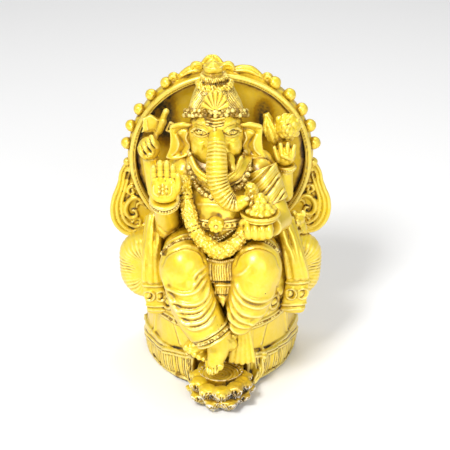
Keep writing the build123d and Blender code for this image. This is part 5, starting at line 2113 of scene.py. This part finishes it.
class IDOL_OT_halo(bpy.types.Operator):
    """Sculpts the halo's plate, rim, beads, crest and side scrolls"""

    bl_idname = "idol.halo"
    bl_label = "Halo"

    def execute(self, context):
        make_halo()
        return {"FINISHED"}


class IDOL_OT_cushions(bpy.types.Operator):
    """Sculpts the two bolsters and the hanging scarves"""

    bl_idname = "idol.cushions"
    bl_label = "Cushions"

    def execute(self, context):
        make_cushions()
        return {"FINISHED"}


class IDOL_OT_body(bpy.types.Operator):
    """Sculpts the torso and its ornaments"""

    bl_idname = "idol.body"
    bl_label = "Body"

    def execute(self, context):
        make_body()
        return {"FINISHED"}


class IDOL_OT_legs(bpy.types.Operator):
    """Sculpts the legs, feet and waist cloth"""

    bl_idname = "idol.legs"
    bl_label = "Legs"

    def execute(self, context):
        make_legs()
        return {"FINISHED"}


class IDOL_OT_head(bpy.types.Operator):
    """Sculpts the head, trunk, tusk and ears"""

    bl_idname = "idol.head"
    bl_label = "Head"

    def execute(self, context):
        make_head()
        return {"FINISHED"}


class IDOL_OT_crown(bpy.types.Operator):
    """Sculpts the crown, its shell and its knob"""

    bl_idname = "idol.crown"
    bl_label = "Crown"

    def execute(self, context):
        make_crown()
        return {"FINISHED"}


class IDOL_OT_blessing_arm(bpy.types.Operator):
    """Sculpts the raised right arm, cuff and open hand"""

    bl_idname = "idol.blessing_arm"
    bl_label = "Blessing arm"

    def execute(self, context):
        make_blessing_arm()
        return {"FINISHED"}


class IDOL_OT_bowl_arm(bpy.types.Operator):
    """Sculpts the left arm with the bowl of sweets"""

    bl_idname = "idol.bowl_arm"
    bl_label = "Bowl arm"

    def execute(self, context):
        make_bowl_arm()
        return {"FINISHED"}


class IDOL_OT_axe_arm(bpy.types.Operator):
    """Sculpts the upper right arm with the axe"""

    bl_idname = "idol.axe_arm"
    bl_label = "Axe arm"

    def execute(self, context):
        make_axe_arm()
        return {"FINISHED"}


class IDOL_OT_flower_arm(bpy.types.Operator):
    """Sculpts the upper left arm with the blossom"""

    bl_idname = "idol.flower_arm"
    bl_label = "Flower arm"

    def execute(self, context):
        make_flower_arm()
        return {"FINISHED"}


class IDOL_OT_shoulder_sash(bpy.types.Operator):
    """Sculpts the shawl over the left shoulder"""

    bl_idname = "idol.shoulder_sash"
    bl_label = "Shoulder sash"

    def execute(self, context):
        make_shoulder_sash()
        return {"FINISHED"}


class IDOL_OT_mouse(bpy.types.Operator):
    """Sculpts the small mouse on the cushion"""

    bl_idname = "idol.mouse"
    bl_label = "Mouse"

    def execute(self, context):
        make_mouse()
        return {"FINISHED"}


class IDOL_OT_lotus(bpy.types.Operator):
    """Sculpts the lotus footrest"""

    bl_idname = "idol.lotus"
    bl_label = "Lotus"

    def execute(self, context):
        make_lotus()
        return {"FINISHED"}


class IDOL_OT_ageing_and_shade(bpy.types.Operator):
    """Works out where dark wash, rubbed paint, painted highlights, painted shade and painted shadows lie on
    every piece
    """

    bl_idname = "idol.ageing"
    bl_label = "Ageing and shade"

    def execute(self, context):
        age_and_shade_surface()
        return {"FINISHED"}


class IDOL_OT_stage(bpy.types.Operator):
    """Sets up the floor, lights and camera"""

    bl_idname = "idol.stage"
    bl_label = "Stage"

    def execute(self, context):
        make_stage()
        return {"FINISHED"}


STEPS = [
    IDOL_OT_throne, IDOL_OT_halo, IDOL_OT_cushions, IDOL_OT_body, IDOL_OT_legs, IDOL_OT_head, IDOL_OT_crown,
    IDOL_OT_blessing_arm, IDOL_OT_bowl_arm, IDOL_OT_axe_arm, IDOL_OT_flower_arm, IDOL_OT_shoulder_sash,
    IDOL_OT_mouse, IDOL_OT_lotus, IDOL_OT_ageing_and_shade, IDOL_OT_stage,
]


class IDOL_PT_panel(bpy.types.Panel):
    """Sizes, colours and steps of the idol"""

    bl_label = "Idol"
    bl_space_type = "VIEW_3D"
    bl_region_type = "UI"
    bl_category = "Idol"

    def draw(self, context):
        for group in (context.scene.idol_sizes, context.scene.idol_colours):
            box = self.layout.box()
            for key in group.__annotations__:
                box.prop(group, key)
        for step in STEPS:
            self.layout.operator(step.bl_idname)


CLASSES = [IdolSizes, IdolColours, *STEPS, IDOL_PT_panel]


def register():
    for kind in CLASSES:
        bpy.utils.register_class(kind)
    bpy.types.Scene.idol_sizes = PointerProperty(type=IdolSizes)
    bpy.types.Scene.idol_colours = PointerProperty(type=IdolColours)


def unregister():
    del bpy.types.Scene.idol_sizes
    del bpy.types.Scene.idol_colours
    for kind in reversed(CLASSES):
        bpy.utils.unregister_class(kind)


def main():
    register()
    bpy.ops.idol.throne()
    bpy.ops.idol.halo()
    bpy.ops.idol.cushions()
    bpy.ops.idol.body()
    bpy.ops.idol.legs()
    bpy.ops.idol.head()
    bpy.ops.idol.crown()
    bpy.ops.idol.blessing_arm()
    bpy.ops.idol.bowl_arm()
    bpy.ops.idol.axe_arm()
    bpy.ops.idol.flower_arm()
    bpy.ops.idol.shoulder_sash()
    bpy.ops.idol.mouse()
    bpy.ops.idol.lotus()
    bpy.ops.idol.ageing()
    bpy.ops.idol.stage()


if __name__ == "__main__":
    main()
